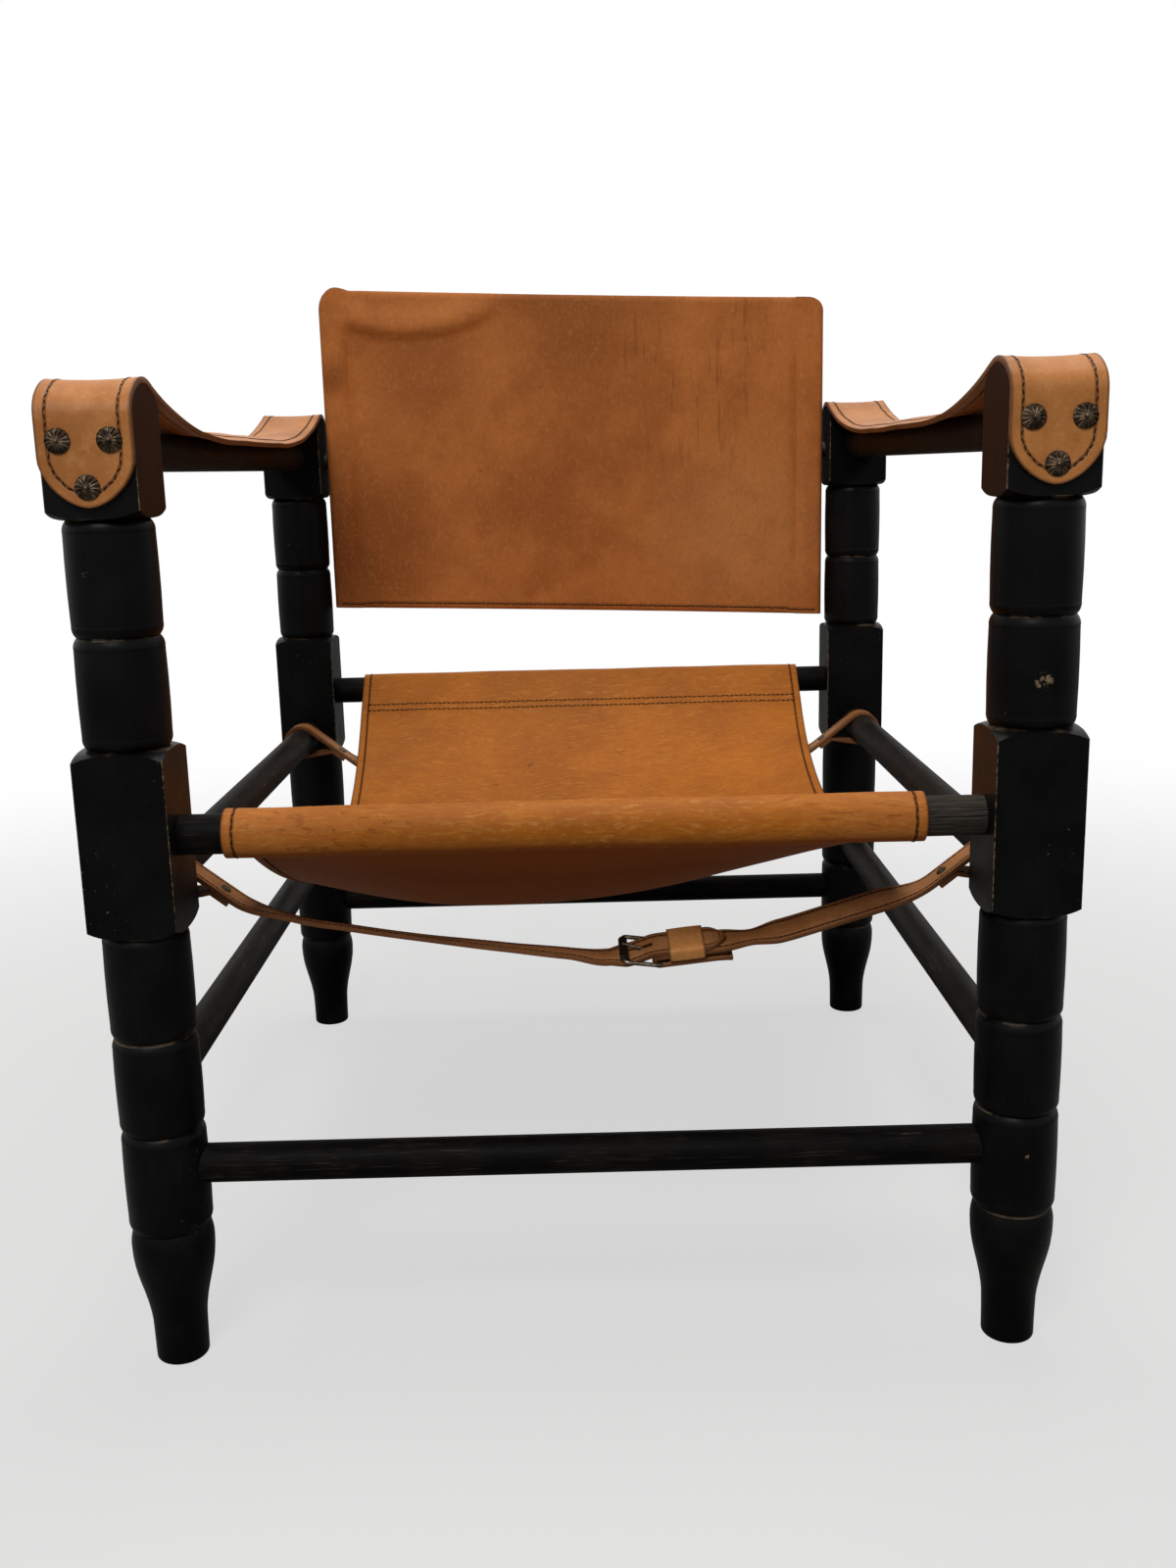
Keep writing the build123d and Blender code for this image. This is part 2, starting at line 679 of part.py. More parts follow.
save(Compound(children=bolts), "back_pivot_bolts")
save(Compound(children=washers), "back_pivot_washers")

# Belts under the seat. The buckle's part of a belt lies in a flat plane that is tilted to the front
# and rises a little to the right
belt_bore_r = side_rail_r + leather_fit
belt_out_r = belt_bore_r + belt_t
belt_loop = loop_profile(belt_bore_r, belt_t, belt_loop_length, belt_tab, belt_run_on)
belt_end_u = belt_loop_length + belt_tab + belt_run_on
belt_mid_v = belt_bore_r + belt_t / 2
belt_lead = radians(belt_leave_deg)
belt_end_x = half_x - belt_end_u * cos(belt_lead) - belt_mid_v * sin(belt_lead)
belt_end_z = side_rail_z - belt_end_u * sin(belt_lead) + belt_mid_v * cos(belt_lead)
half_belt = belt_width / 2
fold_r = wire_r + wire_fit + belt_t / 2
hinge_bar_n = -fold_r
tongue_low_n = roller_bar_n - roller_r - under_roller_gap - belt_t / 2
tongue_high_n = belt_t + tongue_gap
belt_tilt = radians(belt_tilt_deg)
belt_rise = radians(belt_rise_deg)
belt_along = Vector(cos(belt_rise), 0, sin(belt_rise))
belt_across = Vector(-sin(belt_tilt) * sin(belt_rise), cos(belt_tilt), sin(belt_tilt) * cos(belt_rise))
belt_up = belt_along.cross(belt_across)
left_belt_points = tuple(zip(left_belt_x, left_belt_z, left_belt_fall_deg))
right_belt_points = tuple(zip(right_belt_x, right_belt_z, right_belt_fall_deg))


def belt_section(place, fall_deg, twist_deg):
    """A section of flat belt: fall is its slope down along x, twist turns its face to the front."""
    fall = radians(fall_deg)
    twist = radians(twist_deg)
    along = (cos(fall), 0, -sin(fall))
    wide = (sin(twist) * sin(fall), cos(twist), sin(twist) * cos(fall))
    with BuildSketch(Plane(origin=place, x_dir=wide, z_dir=along)) as section:
        Rectangle(belt_width, belt_t)
    return section.sketch


def belt_loft(y, side, points, twist_deg, last_place):
    """Sections from the loop at one side rail to the flat part at the buckle."""
    sections = [belt_section((side * belt_end_x, y, belt_end_z), -side * belt_leave_deg, 0)]
    for x, z, fall_deg in points:
        sections.append(belt_section((side * x, y, z), -side * fall_deg, twist_deg))
    sections.append(belt_section(last_place, -belt_rise_deg, belt_tilt_deg))
    return sections


def rail_loop_plane(y, side):
    """The plane of a belt's loop round a side seat rail."""
    return loop_plane((side * half_x, y, side_rail_z), (0, 1, 0), (-side, 0, 0), belt_leave_deg)


def make_tongue_strap(y, flat, side_on, twist_deg):
    """From the left rail, under the roller, up over the folded strap and on to a round tip."""
    start = flat.from_local_coords((tongue_start_x, 0, tongue_low_n))
    low_face = tongue_low_n - belt_t / 2
    high_face = tongue_high_n - belt_t / 2
    with BuildPart() as strap:
        with BuildSketch(rail_loop_plane(y, -1)):
            add(belt_loop)
        extrude(amount=half_belt, both=True)
        loft(belt_loft(y, -1, left_belt_points, twist_deg, start))
        with BuildSketch(side_on):
            with BuildLine():
                FilletPolyline(
                    (tongue_start_x, low_face),
                    (tongue_rise_start_x, low_face),
                    (tongue_rise_end_x, high_face),
                    (tongue_tip_x, high_face),
                    radius=tongue_bend_r,
                )
                offset(amount=belt_t, side=Side.LEFT)
            make_face()
        extrude(amount=half_belt, both=True)
        with BuildSketch(flat):
            with Locations((tongue_tip_x - half_belt, 0)):
                Rectangle(2 * half_belt, 2 * belt_width, align=(Align.MIN, Align.CENTER))
                Circle(half_belt, mode=Mode.SUBTRACT)
            with Locations((prong_hole_x, 0)):
                SlotOverall(prong_hole_length, prong_hole_w)
        extrude(amount=2 * belt_width, both=True, mode=Mode.SUBTRACT)
        rivet_hole(y, -1)
    return strap.part


def make_buckle_strap(y, flat, side_on, twist_deg):
    """From the right rail to the buckle's hinge bar, folded round it, with its tail beneath."""
    start = flat.from_local_coords((strap_join_x, 0, 0))
    with BuildPart() as strap:
        with BuildSketch(rail_loop_plane(y, 1)):
            add(belt_loop)
        extrude(amount=half_belt, both=True)
        loft(belt_loft(y, 1, right_belt_points, twist_deg, start))
        with BuildSketch(side_on):
            with Locations((hinge_bar_x, hinge_bar_n)):
                Circle(fold_r + belt_t / 2)
                Rectangle(2 * fold_r + belt_t, 2 * fold_r + belt_t, align=(Align.MIN, Align.CENTER), mode=Mode.SUBTRACT)
                Circle(fold_r - belt_t / 2, mode=Mode.SUBTRACT)
            with Locations((hinge_bar_x, 0)):
                Rectangle(strap_join_x - hinge_bar_x, belt_t, align=(Align.MIN, Align.CENTER))
            with Locations((hinge_bar_x, -2 * fold_r)):
                Rectangle(tail_end_x - hinge_bar_x, belt_t, align=(Align.MIN, Align.CENTER))
        extrude(amount=half_belt, both=True)
        with BuildSketch(side_on):
            with Locations((hinge_bar_x + fold_slot_run, hinge_bar_n)):
                Rectangle(4 * fold_r, 4 * fold_r, align=(Align.MAX, Align.CENTER))
        extrude(amount=fold_slot_w / 2, both=True, mode=Mode.SUBTRACT)
        rivet_hole(y, 1)
    return strap.part


def rivet_hole(y, side):
    """The rivet's hole through both layers where a belt closes its loop."""
    plane = rail_loop_plane(y, side)
    start = plane.from_local_coords((belt_loop_length + belt_tab / 2, belt_out_r + cut_over, 0))
    drill(start, -plane.y_dir, belt_rivet_r + belt_rivet_fit, 2 * belt_t + 2 * cut_over)


def make_rivet(y, side):
    """A rivet with a low head each side of the two layers."""
    plane = rail_loop_plane(y, side)
    place = plane.from_local_coords((belt_loop_length + belt_tab / 2, belt_out_r - belt_t, 0))
    with BuildPart() as rivet:
        with BuildSketch(Plane(origin=place, z_dir=plane.y_dir)):
            Circle(belt_rivet_r)
        extrude(amount=belt_t, both=True)
        for way in (-1, 1):
            face = place + plane.y_dir * way * belt_t
            with BuildSketch(Plane(origin=face, z_dir=plane.y_dir * way)):
                Circle(belt_rivet_head_r)
            extrude(amount=belt_rivet_head_h, taper=belt_rivet_taper_deg)
    return rivet.part


def make_buckle_frame(hinge_at, roller_at):
    """A closed wire frame with one bar in the strap's fold and the other through the roller."""
    span = (roller_at - hinge_at).length
    lead = (roller_at - hinge_at).normalized()
    plane = Plane(origin=hinge_at, x_dir=lead, z_dir=lead.cross(belt_across))
    half_frame = half_belt + frame_side_gap + wire_r
    with BuildPart() as frame:
        for far in (0, span):
            with BuildLine(plane) as bar:
                FilletPolyline(
                    (span / 2, -half_frame), (far, -half_frame), (far, half_frame), (span / 2, half_frame),
                    radius=frame_corner_r,
                )
            with BuildSketch(Plane(origin=plane.from_local_coords((span / 2, -half_frame)), z_dir=lead)) as wire:
                Circle(wire_r)
            sweep(sections=wire.sketch, path=bar.line)
    return frame.part


def make_roller(roller_at):
    """The tube that turns on the frame's outer bar."""
    with BuildPart() as roller:
        with BuildSketch(Plane(origin=roller_at, x_dir=belt_along, z_dir=belt_across)):
            Circle(roller_r)
            Circle(wire_r + roller_fit, mode=Mode.SUBTRACT)
        extrude(amount=roller_half, both=True)
    return roller.part


def make_prong(hinge_at, roller_at):
    """A ring round the hinge bar and a round arm that rests above the roller."""
    span = (roller_at - hinge_at).length
    lead = (roller_at - hinge_at).normalized()
    rise = roller_r + prong_rest_gap + prong_r
    reach = (span**2 - rise**2) ** 0.5
    lift = atan2(rise, reach)
    up = belt_across.cross(lead)
    arm = lead * cos(lift) + up * sin(lift)
    with BuildPart() as prong:
        with BuildSketch(Plane(origin=hinge_at, x_dir=belt_along, z_dir=belt_across)):
            Circle(prong_ring_r)
        extrude(amount=prong_ring_w / 2, both=True)
        with BuildSketch(Plane(origin=hinge_at, z_dir=arm)):
            Circle(prong_r)
        extrude(amount=reach + prong_overhang)
        with BuildSketch(Plane(origin=hinge_at, x_dir=belt_along, z_dir=belt_across)):
            Circle(wire_r + prong_fit)
        extrude(amount=prong_ring_w, both=True, mode=Mode.SUBTRACT)
    return prong.part


def make_keeper(flat):
    """A flat leather loop round the tongue and the strap beneath it."""
    low = -belt_t / 2 - keeper_gap
    high = tongue_high_n + belt_t / 2 + keeper_gap
    inside_w = belt_width + 2 * keeper_gap
    inside_h = high - low
    with BuildPart() as keeper:
        end = flat.from_local_coords((keeper_x, 0, (low + high) / 2))
        with BuildSketch(Plane(origin=end, x_dir=belt_across, z_dir=belt_along)):
            RectangleRounded(inside_w + 2 * keeper_t, inside_h + 2 * keeper_t, keeper_corner_r)
            Rectangle(inside_w, inside_h, mode=Mode.SUBTRACT)
        extrude(amount=keeper_length)
    return keeper.part


def make_belt(name, y, left_twist_deg, right_twist_deg):
    """All the pieces of one belt, each written to its file."""
    flat = Plane(origin=(0, y, belt_mid_z), x_dir=belt_along, z_dir=belt_up)
    side_on = Plane(origin=(0, y, belt_mid_z), x_dir=belt_along, z_dir=-belt_across)
    hinge_at = flat.from_local_coords((hinge_bar_x, 0, hinge_bar_n))
    roller_at = flat.from_local_coords((roller_bar_x, 0, roller_bar_n))
    save(make_tongue_strap(y, flat, side_on, left_twist_deg), f"{name}_belt_tongue_strap")
    save(make_buckle_strap(y, flat, side_on, right_twist_deg), f"{name}_belt_buckle_strap")
    save(Compound(children=[make_rivet(y, -1), make_rivet(y, 1)]), f"{name}_belt_rivets")
    save(make_buckle_frame(hinge_at, roller_at), f"{name}_buckle_frame")
    save(make_roller(roller_at), f"{name}_buckle_roller")
    save(make_prong(hinge_at, roller_at), f"{name}_buckle_prong")
    save(make_keeper(flat), f"{name}_belt_keeper")


make_belt("front", -(half_y - half_block - belt_set_in), front_left_twist_deg, front_right_twist_deg)
make_belt("rear", half_y - half_block - rear_belt_set_in, rear_twist_deg, rear_twist_deg)
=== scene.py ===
# %% [markdown]
# # A campaign chair, finished piece by piece
# The chair's wood, metal and movable bodies come from its CAD model and stay as they are. What
# this lesson adds is everything soft: a sling seat, a back cover, two arm straps and two buckled
# belts, all cut from thick saddle leather and sewn with dark thread. Each is laid over the CAD
# piece that it stands for, then every surface gets the finish of the real one.

from bisect import bisect
from functools import partial
from math import atan2, cos, degrees, dist, hypot, pi, radians, sin, sqrt, tan

import bpy
from mathutils import Matrix, Vector, noise


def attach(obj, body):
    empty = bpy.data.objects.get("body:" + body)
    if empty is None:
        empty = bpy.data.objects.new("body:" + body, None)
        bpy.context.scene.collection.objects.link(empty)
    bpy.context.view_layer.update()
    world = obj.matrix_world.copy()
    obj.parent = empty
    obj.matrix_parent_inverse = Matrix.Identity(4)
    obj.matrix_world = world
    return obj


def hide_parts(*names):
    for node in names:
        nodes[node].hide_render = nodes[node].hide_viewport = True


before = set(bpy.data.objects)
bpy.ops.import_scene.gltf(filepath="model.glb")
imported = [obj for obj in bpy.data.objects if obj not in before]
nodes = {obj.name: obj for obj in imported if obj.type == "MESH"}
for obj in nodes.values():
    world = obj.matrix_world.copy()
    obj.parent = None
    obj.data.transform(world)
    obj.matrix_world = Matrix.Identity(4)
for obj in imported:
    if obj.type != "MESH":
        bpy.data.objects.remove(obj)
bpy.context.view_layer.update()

# %% [markdown]
# ## The camera
# A camera can be matched to a photograph by hand, or worked out from points whose places are
# known. Here the posts' corners, the rails' ends and the studs gave the place, the turn and the
# lens, so the render has the same view: a little above the arms, close, and turned slightly.


# %% Camera
def link_new(name, data):
    """A new object with its data, linked to the scene."""
    thing = bpy.data.objects.new(name, data)
    bpy.context.scene.collection.objects.link(thing)
    return thing


def turned_to(x_axis, y_axis, z_axis):
    """The turn that brings the three axes to three directions."""
    return Matrix((x_axis, y_axis, z_axis)).transposed().to_4x4()


camera_data = bpy.data.cameras.new("portrait_camera")
camera = link_new("portrait_camera", camera_data)
camera_place = (0.0036, -1.293, 0.6216)
yaw, pitch, roll = 0.0011, 0.2114, -0.0249
focal_pixels, frame_pixels = 1500, 1600
forward = Vector((sin(yaw) * cos(pitch), cos(yaw) * cos(pitch), -sin(pitch)))
level_right = Vector((cos(yaw), -sin(yaw), 0))
level_up = level_right.cross(forward)
right = cos(roll) * level_right + sin(roll) * level_up
up = -sin(roll) * level_right + cos(roll) * level_up
camera.matrix_world = Matrix.Translation(camera_place) @ turned_to(right, up, -forward)
camera_data.sensor_width = 36
camera_data.lens = focal_pixels / frame_pixels * camera_data.sensor_width
camera_data.clip_end = 50
bpy.context.scene.camera = camera
print("lens in mm:", camera_data.lens)

# %% [markdown]
# ## Small tools for materials
# A colour is easiest to read as the hex value that a paint program shows, but shaders want it
# linear, so one function turns it. A second one adds any shader node, with its settings and with
# what goes into its sockets, and gives back the output that the next node needs.


# %% Colours and nodes
MM = 0.001
SMOOTH = {"interpolation_type": "SMOOTHSTEP"}
COLOUR = {"data_type": "RGBA"}


def linear(code):
    """A hex colour as it looks on a screen, turned to the linear values that shaders use."""
    parts = [int(code[i : i + 2], 16) / 255 for i in (1, 3, 5)]
    return [p / 12.92 if p <= 0.04045 else ((p + 0.055) / 1.055) ** 2.4 for p in parts] + [1.0]


def add_node(owner, kind, sockets, out=0, **settings):
    """Adds a node and returns one output. A socket takes another output, a hex colour or a value."""
    node = owner.node_tree.nodes.new("ShaderNode" + kind)
    for key, value in settings.items():
        setattr(node, key, value)
    for key, value in sockets.items():
        if isinstance(value, bpy.types.NodeSocket):
            owner.node_tree.links.new(value, node.inputs[key])
        else:
            node.inputs[key].default_value = linear(value) if isinstance(value, str) else value
    return node.outputs[out] if node.outputs else None


print("a grey of #808080 is", round(linear("#808080")[0], 3), "in linear values")

# %% [markdown]
# Two steps come again and again, so they are put together from such nodes once: a colour laid over
# another where a pattern runs from one value to another, and a share that fades with the distance
# from a spot. A pattern's scale is one over its size in metres.


# %% A new material and its usual steps
def new_material(name):
    """An empty node material, and add_node with that material filled in."""
    material = bpy.data.materials.new(name)
    material.use_nodes = True
    material.node_tree.nodes.clear()
    return material, partial(add_node, material)


def tint(add, colour, over, pattern, low, high, least=0.0, most=1.0):
    """Lays one colour over another, with a share that goes from least to most as a pattern's value
    goes from low to high."""
    share = add("MapRange", {0: pattern, 1: low, 2: high, 3: least, 4: most}, **SMOOTH)
    return add("Mix", {0: share, 6: colour, 7: over}, 2, **COLOUR)


def near_spot(add, place, centre, radius, inner, most):
    """A share that is most inside a spot, up to the part inner of its radius, and 0 outside it."""
    away = add("VectorMath", {0: place, 1: centre}, "Value", operation="DISTANCE")
    return add("MapRange", {0: away, 1: inner * radius, 2: radius, 3: most, 4: 0.0}, **SMOOTH)


def per_axis(sizes_mm):
    """The scale of a pattern that has a size in millimetres along each axis."""
    return [1 / (size * MM) for size in sizes_mm]


print("the scales of a pattern of 2, 4 and 8 mm:", [round(scale) for scale in per_axis((2, 4, 8))])

# %% [markdown]
# ## Saddle leather
# The seat, back and arm straps are vegetable-tanned saddle leather 3 or 4 mm thick, waxed and
# then darkened by years of hands. To the eye that is a warm tan whose shade drifts over a
# hand's breadth, a fine pebble of pores, a web of small creases where it has bent, a few dark
# spots, and a soft sheen. Edges are burnished darker, and the sewing pulls a narrow furrow. The
# furrow and the edge need to know how far they are from the rim, so each leather piece carries
# that distance, in millimetres, as an attribute on its mesh.


# %% A leather finish
def saddle_leather(
    name, colours, seam_inset, fibre_mm, stains_and_shade=(), marks=(), figure=1.0, spots=0.3, gloss=0.5, under=None
):
    """Waxed saddle leather of three colours: its tan, a deeper and a lighter one. The seam's furrow runs
    seam_inset millimetres inside the rim, and the fibres are as long along each axis as fibre_mm says and as
    strong as figure. A stain is (centre, radius, share, colour); on the back some of these patches are
    painted shade and painted light. Marks are as well, with their size along each axis in mm after that; on
    the back they paint shade in wrinkles. Under is painted shade: the colour of faces that look down, darker
    because less light reaches them."""
    tan_colour, deep_colour, light_colour = colours
    material, add = new_material(name)
    place = add("TexCoord", {}, "Object")
    drift = add("TexNoise", {"Vector": place, "Scale": 1 / (75 * MM), "Detail": 9.0, "Roughness": 0.62})
    mottle = add("TexNoise", {"Vector": place, "Scale": 1 / (4 * MM), "Detail": 4.0, "Roughness": 0.7})
    # The fibres fan out, so their pattern is bent by a slow noise of 60 mm.
    bent = add("TexNoise", {"Vector": place, "Scale": 1 / (60 * MM), "Detail": 2.0}, 1)
    warped = add("VectorMath", {0: bent, 1: (0.03, 0.03, 0.03), 2: place}, operation="MULTIPLY_ADD")
    fibre_place = add("Mapping", {0: warped, "Scale": per_axis(fibre_mm)})
    fibre = add("TexNoise", {"Vector": fibre_place, "Scale": 1.0, "Detail": 4.0, "Roughness": 0.62})
    colour = tint(add, deep_colour, tan_colour, drift, 0.34, 0.64)
    for centre, radius, most, stain_and_shade_colour in stains_and_shade:
        share = near_spot(add, warped, centre, radius, 0.2, most)
        colour = add("Mix", {0: share, 6: colour, 7: stain_and_shade_colour}, 2, **COLOUR)
    colour = tint(add, colour, light_colour, mottle, 0.5, 0.75, most=0.3)
    colour = tint(add, colour, deep_colour, mottle, 0.48, 0.3, most=0.35)
    colour = tint(add, colour, light_colour, fibre, 0.5, 0.72, most=0.3 * figure)
    colour = tint(add, colour, deep_colour, fibre, 0.5, 0.3, most=0.45 * figure)
    # Painted shade: faces that look down get a darker colour, as less light reaches them.
    if under:
        facing = add("TexCoord", {}, "Normal")
        upward = add("SeparateXYZ", {0: facing}, 2)
        colour = tint(add, colour, under, upward, -0.8, -0.5, 0.85, 0.0)
    dents = None
    for centre, radius, most, mark_colour, size_mm in marks:
        mark = add("Mapping", {0: place, "Scale": per_axis(size_mm)})
        mark = add("TexNoise", {"Vector": mark, "Scale": 1.0, "Detail": 2.0})
        mark = add("MapRange", {0: mark, 1: 0.6, 2: 0.68}, **SMOOTH)
        share = near_spot(add, place, centre, radius, 0.3, most)
        dents = add("Math", {0: mark, 1: share}, operation="MULTIPLY")
        colour = add("Mix", {0: dents, 6: colour, 7: mark_colour}, 2, **COLOUR)
    # Spots 2 to 5 mm long, drawn out along x, where the wax has soaked into small scars.
    spot = add("Mapping", {0: warped, "Location": (3.1, 1.7, 0.4), "Scale": per_axis((16, 8, 8))})
    spot = add("TexNoise", {"Vector": spot, "Scale": 1.0, "Detail": 2.0})
    colour = tint(add, colour, "#55240a", spot, 0.735, 0.78, most=spots)
    # The edge is burnished, and the seam and the hem press a furrow that is darkened with painted shade.
    rim = add("Attribute", {}, "Fac", attribute_name="from_rim")
    hem = add("Attribute", {}, "Fac", attribute_name="from_hem")
    colour = tint(add, colour, "#43220f", rim, 0.2, 2.0, 0.7, 0.0)
    off_seam = add("Math", {0: rim, 1: seam_inset}, operation="SUBTRACT")
    off_seam = add("Math", {0: off_seam}, operation="ABSOLUTE")
    off_seam = add("Math", {0: off_seam, 1: hem}, operation="MINIMUM")
    furrow = add("MapRange", {0: off_seam, 1: 0.2, 2: 1.7, 3: 1.0, 4: 0.0}, **SMOOTH)
    share = add("Math", {0: furrow, 1: 0.65}, operation="MULTIPLY")
    colour = add("Mix", {0: share, 6: colour, 7: "#3c1c0a"}, 2, **COLOUR)
    # Pores of about 1 mm and a web of creases, both drawn a little coarser than life so they show.
    pores = add("TexNoise", {"Vector": place, "Scale": 1 / (1.2 * MM), "Detail": 3.0, "Roughness": 0.6})
    web = add("TexVoronoi", {"Vector": fibre_place, "Scale": 1.3}, "Distance", feature="DISTANCE_TO_EDGE")
    crack = add("MapRange", {0: web, 1: 0.0, 2: 0.08}, **SMOOTH)
    waves = add("TexNoise", {"Vector": place, "Scale": 1 / (28 * MM), "Detail": 2.0})
    height = add("Math", {0: pores, 1: 0.14}, operation="MULTIPLY")
    layers = [(crack, 0.06), (fibre, 0.4), (waves, 1.3), (furrow, -0.9)]
    if dents:
        layers.append((dents, -0.5))
    for layer, depth in layers:
        height = add("Math", {0: layer, 1: depth, 2: height}, operation="MULTIPLY_ADD")
    normal = add("Bump", {"Strength": 0.8, "Distance": 1.0 * MM, "Height": height})
    dull = 0.64 - 0.24 * gloss
    rough = add("MapRange", {0: mottle, 1: 0.3, 2: 0.7, 3: dull, 4: dull + 0.12}, **SMOOTH)
    look = {"Base Color": colour, "Roughness": rough, "Normal": normal, "IOR": 1.48}
    surface = add("BsdfPrincipled", {**look, "Specular IOR Level": 0.04 + 0.2 * gloss})
    add("OutputMaterial", {"Surface": surface})
    return material


# %% [markdown]
# Each leather has its own tan. On the back, painted shade darkens the left side and the places below the
# swag, and painted light makes the right side paler; the back is also darker at its top and in blotches low
# down, and fine upright wrinkles run down it. The front roll of the seat is scuffed: pale above, dark to the
# right, and in small flecks to the left.

# %% The leathers
back_light = "#c58b54"
back_stains_and_shade = (
    # Painted shade on the left side: a broad patch low down and a small one near the top left corner.
    ((-0.225, 0.33, 0.565), 0.12, 0.8, "#783d14"),
    ((-0.245, 0.33, 0.735), 0.035, 0.8, "#733a12"),
    # Painted shade below the swag.
    ((-0.15, 0.33, 0.74), 0.09, 0.5, "#7e431a"),
    # Darker at the top.
    ((0.02, 0.33, 0.82), 0.14, 0.6, "#80471c"),
    # Darker blotches low down.
    ((-0.03, 0.33, 0.60), 0.07, 0.4, "#84471c"),
    ((0.01, 0.33, 0.655), 0.07, 0.4, "#84471c"),
    # Painted light: the right side is made paler.
    ((0.19, 0.33, 0.57), 0.14, 0.3, back_light),
)
# Painted shade in fine upright wrinkles on the back's right side, which the marks also press in as dents.
back_marks = (((0.13, 0.33, 0.73), 0.15, 0.45, "#7a421a", (5, 12, 55)),)
seat_stains = (
    ((-0.03, 0.17, 0.33), 0.08, 0.5, "#84480f"),
    ((-0.02, 0.33, 0.40), 0.12, 0.5, "#8e5117"),
    ((-0.10, -0.34, 0.39), 0.10, 0.3, "#96551a"),
    ((-0.24, -0.35, 0.39), 0.12, 0.6, "#ad6a33"),
    ((0.24, -0.35, 0.39), 0.10, 0.6, "#b06c33"),
)
seat_marks = (
    ((0.03, -0.35, 0.41), 0.15, 0.16, "#dba968", (9, 4, 4)),
    ((0.20, -0.36, 0.39), 0.10, 0.6, "#7d3f10", (16, 3, 3)),
    ((-0.17, -0.36, 0.39), 0.10, 0.55, "#7d3f10", (8, 6, 6)),
)
seam_mm, belt_seam_mm, no_seam = 7.5, 3.6, 99.0
seat_leather = saddle_leather(
    "waxed_saddle_leather_seat",
    ("#a65e15", "#945112", "#bf8337"),
    seam_mm,
    (18, 2.4, 2.4),
    seat_stains,
    seat_marks,
    figure=1.35,
    spots=0.7,
    # Painted shade on the seat's belly and its other faces that look down.
    under="#7f3a03",
)
back_colours = ("#b46b33", "#9c5927", back_light)
back_leather = saddle_leather(
    "waxed_saddle_leather_back", back_colours, seam_mm, (3, 4, 6), back_stains_and_shade, back_marks, 0.6, gloss=0.4
)
arm_colours = ("#af7039", "#965d2c", "#c6905d")
arm_leather = saddle_leather("waxed_saddle_leather_arms", arm_colours, seam_mm, (12, 16, 16), gloss=0.9)
belt_colours = ("#b17849", "#8d5a32", "#c29162")
belt_leather = saddle_leather("oiled_harness_leather", belt_colours, belt_seam_mm, (14, 3, 14))
keeper_colours = ("#cc8c4f", "#ad743d", "#d8a268")
keeper_leather = saddle_leather("natural_strap_leather", keeper_colours, no_seam, (4, 9, 9))
print("leathers:", [m.name for m in (seat_leather, back_leather, arm_leather, belt_leather, keeper_leather)])

# %% [markdown]
# ## Sewing thread
# The thread is waxed linen about a millimetre thick, nearly black with age. At this size its
# twist would not show, so it is a dark, slightly rough cord with a little sheen from the wax.

# %% Thread finish
waxed_thread, add = new_material("waxed_linen_thread")
thread_place = add("TexCoord", {}, "Object")
thread_noise = add("TexNoise", {"Vector": thread_place, "Scale": 1 / (2.5 * MM)})
thread_colour = add("Mix", {0: thread_noise, 6: "#0c0503", 7: "#211008"}, 2, **COLOUR)
thread_look = {"Base Color": thread_colour, "Roughness": 0.65, "Specular IOR Level": 0.08}
add("OutputMaterial", {"Surface": add("BsdfPrincipled", thread_look)})
print("thread:", waxed_thread.name)

# %% [markdown]
# ## Laying a sheet of leather
# A sheet can be draped by simulation, or laid vertex by vertex where its line is known. Leather
# this stiff hangs in plain curves, so it is laid: a grid is added with as many columns and rows
# as the curves need, each vertex goes to the place that a rule gives for its share across and
# along, and Solidify gives the grid its thickness. Bevel then softens the cut edges.


# %% Lay a sheet
def clear_selection():
    """Deselects everything, so that the next operator acts only on what it should."""
    bpy.ops.object.select_all(action="DESELECT")


def choose(piece):
    """Makes one piece selected and active."""
    clear_selection()
    piece.select_set(True)
    bpy.context.view_layer.objects.active = piece


def add_modifier(piece, kind, **settings):
    """Adds a modifier with its settings."""
    modifier = piece.modifiers.new(kind.lower(), kind)
    for key, value in settings.items():
        setattr(modifier, key, value)


def apply_modifiers(piece):
    """Applies every modifier on a piece, first to last."""
    choose(piece)
    for modifier in list(piece.modifiers):
        bpy.ops.object.modifier_apply(modifier=modifier.name)


def lay_sheet(name, columns, rows, place, thickness, offset, rim_mm=None, hem_mm=None, edge_round=0.6 * MM):
    """A grid laid by place(u, v), given a thickness, with its distances from rim and hem in mm."""
    clear_selection()
    bpy.ops.mesh.primitive_grid_add(x_subdivisions=columns, y_subdivisions=rows, size=1)
    sheet = bpy.context.object
    sheet.name = sheet.data.name = name
    mesh = sheet.data
    shares = [(v.co.x + 0.5, v.co.y + 0.5) for v in mesh.vertices]
    for vertex, (u, v) in zip(mesh.vertices, shares):
        vertex.co = place(u, v)
    for title, rule in (("from_rim", rim_mm), ("from_hem", hem_mm)):
        values = [rule(u, v) if rule else 99.0 for u, v in shares]
        mesh.attributes.new(title, "FLOAT", "POINT").data.foreach_set("value", values)
    add_modifier(sheet, "SOLIDIFY", thickness=thickness, offset=offset, use_even_offset=False)
    add_modifier(sheet, "BEVEL", width=edge_round, segments=2, limit_method="ANGLE", angle_limit=radians(60))
    apply_modifiers(sheet)
    bpy.ops.object.shade_smooth_by_angle(angle=radians(50))
    return sheet


print("a grid of 4 by 4 cells has", 5 * 5, "vertices to lay")

# %% [markdown]
# The rules often follow a line of points, seen from the side or from above. A few small functions
# measure such a line, read it anywhere, and find the face of a laid sheet for what is sewn on it.


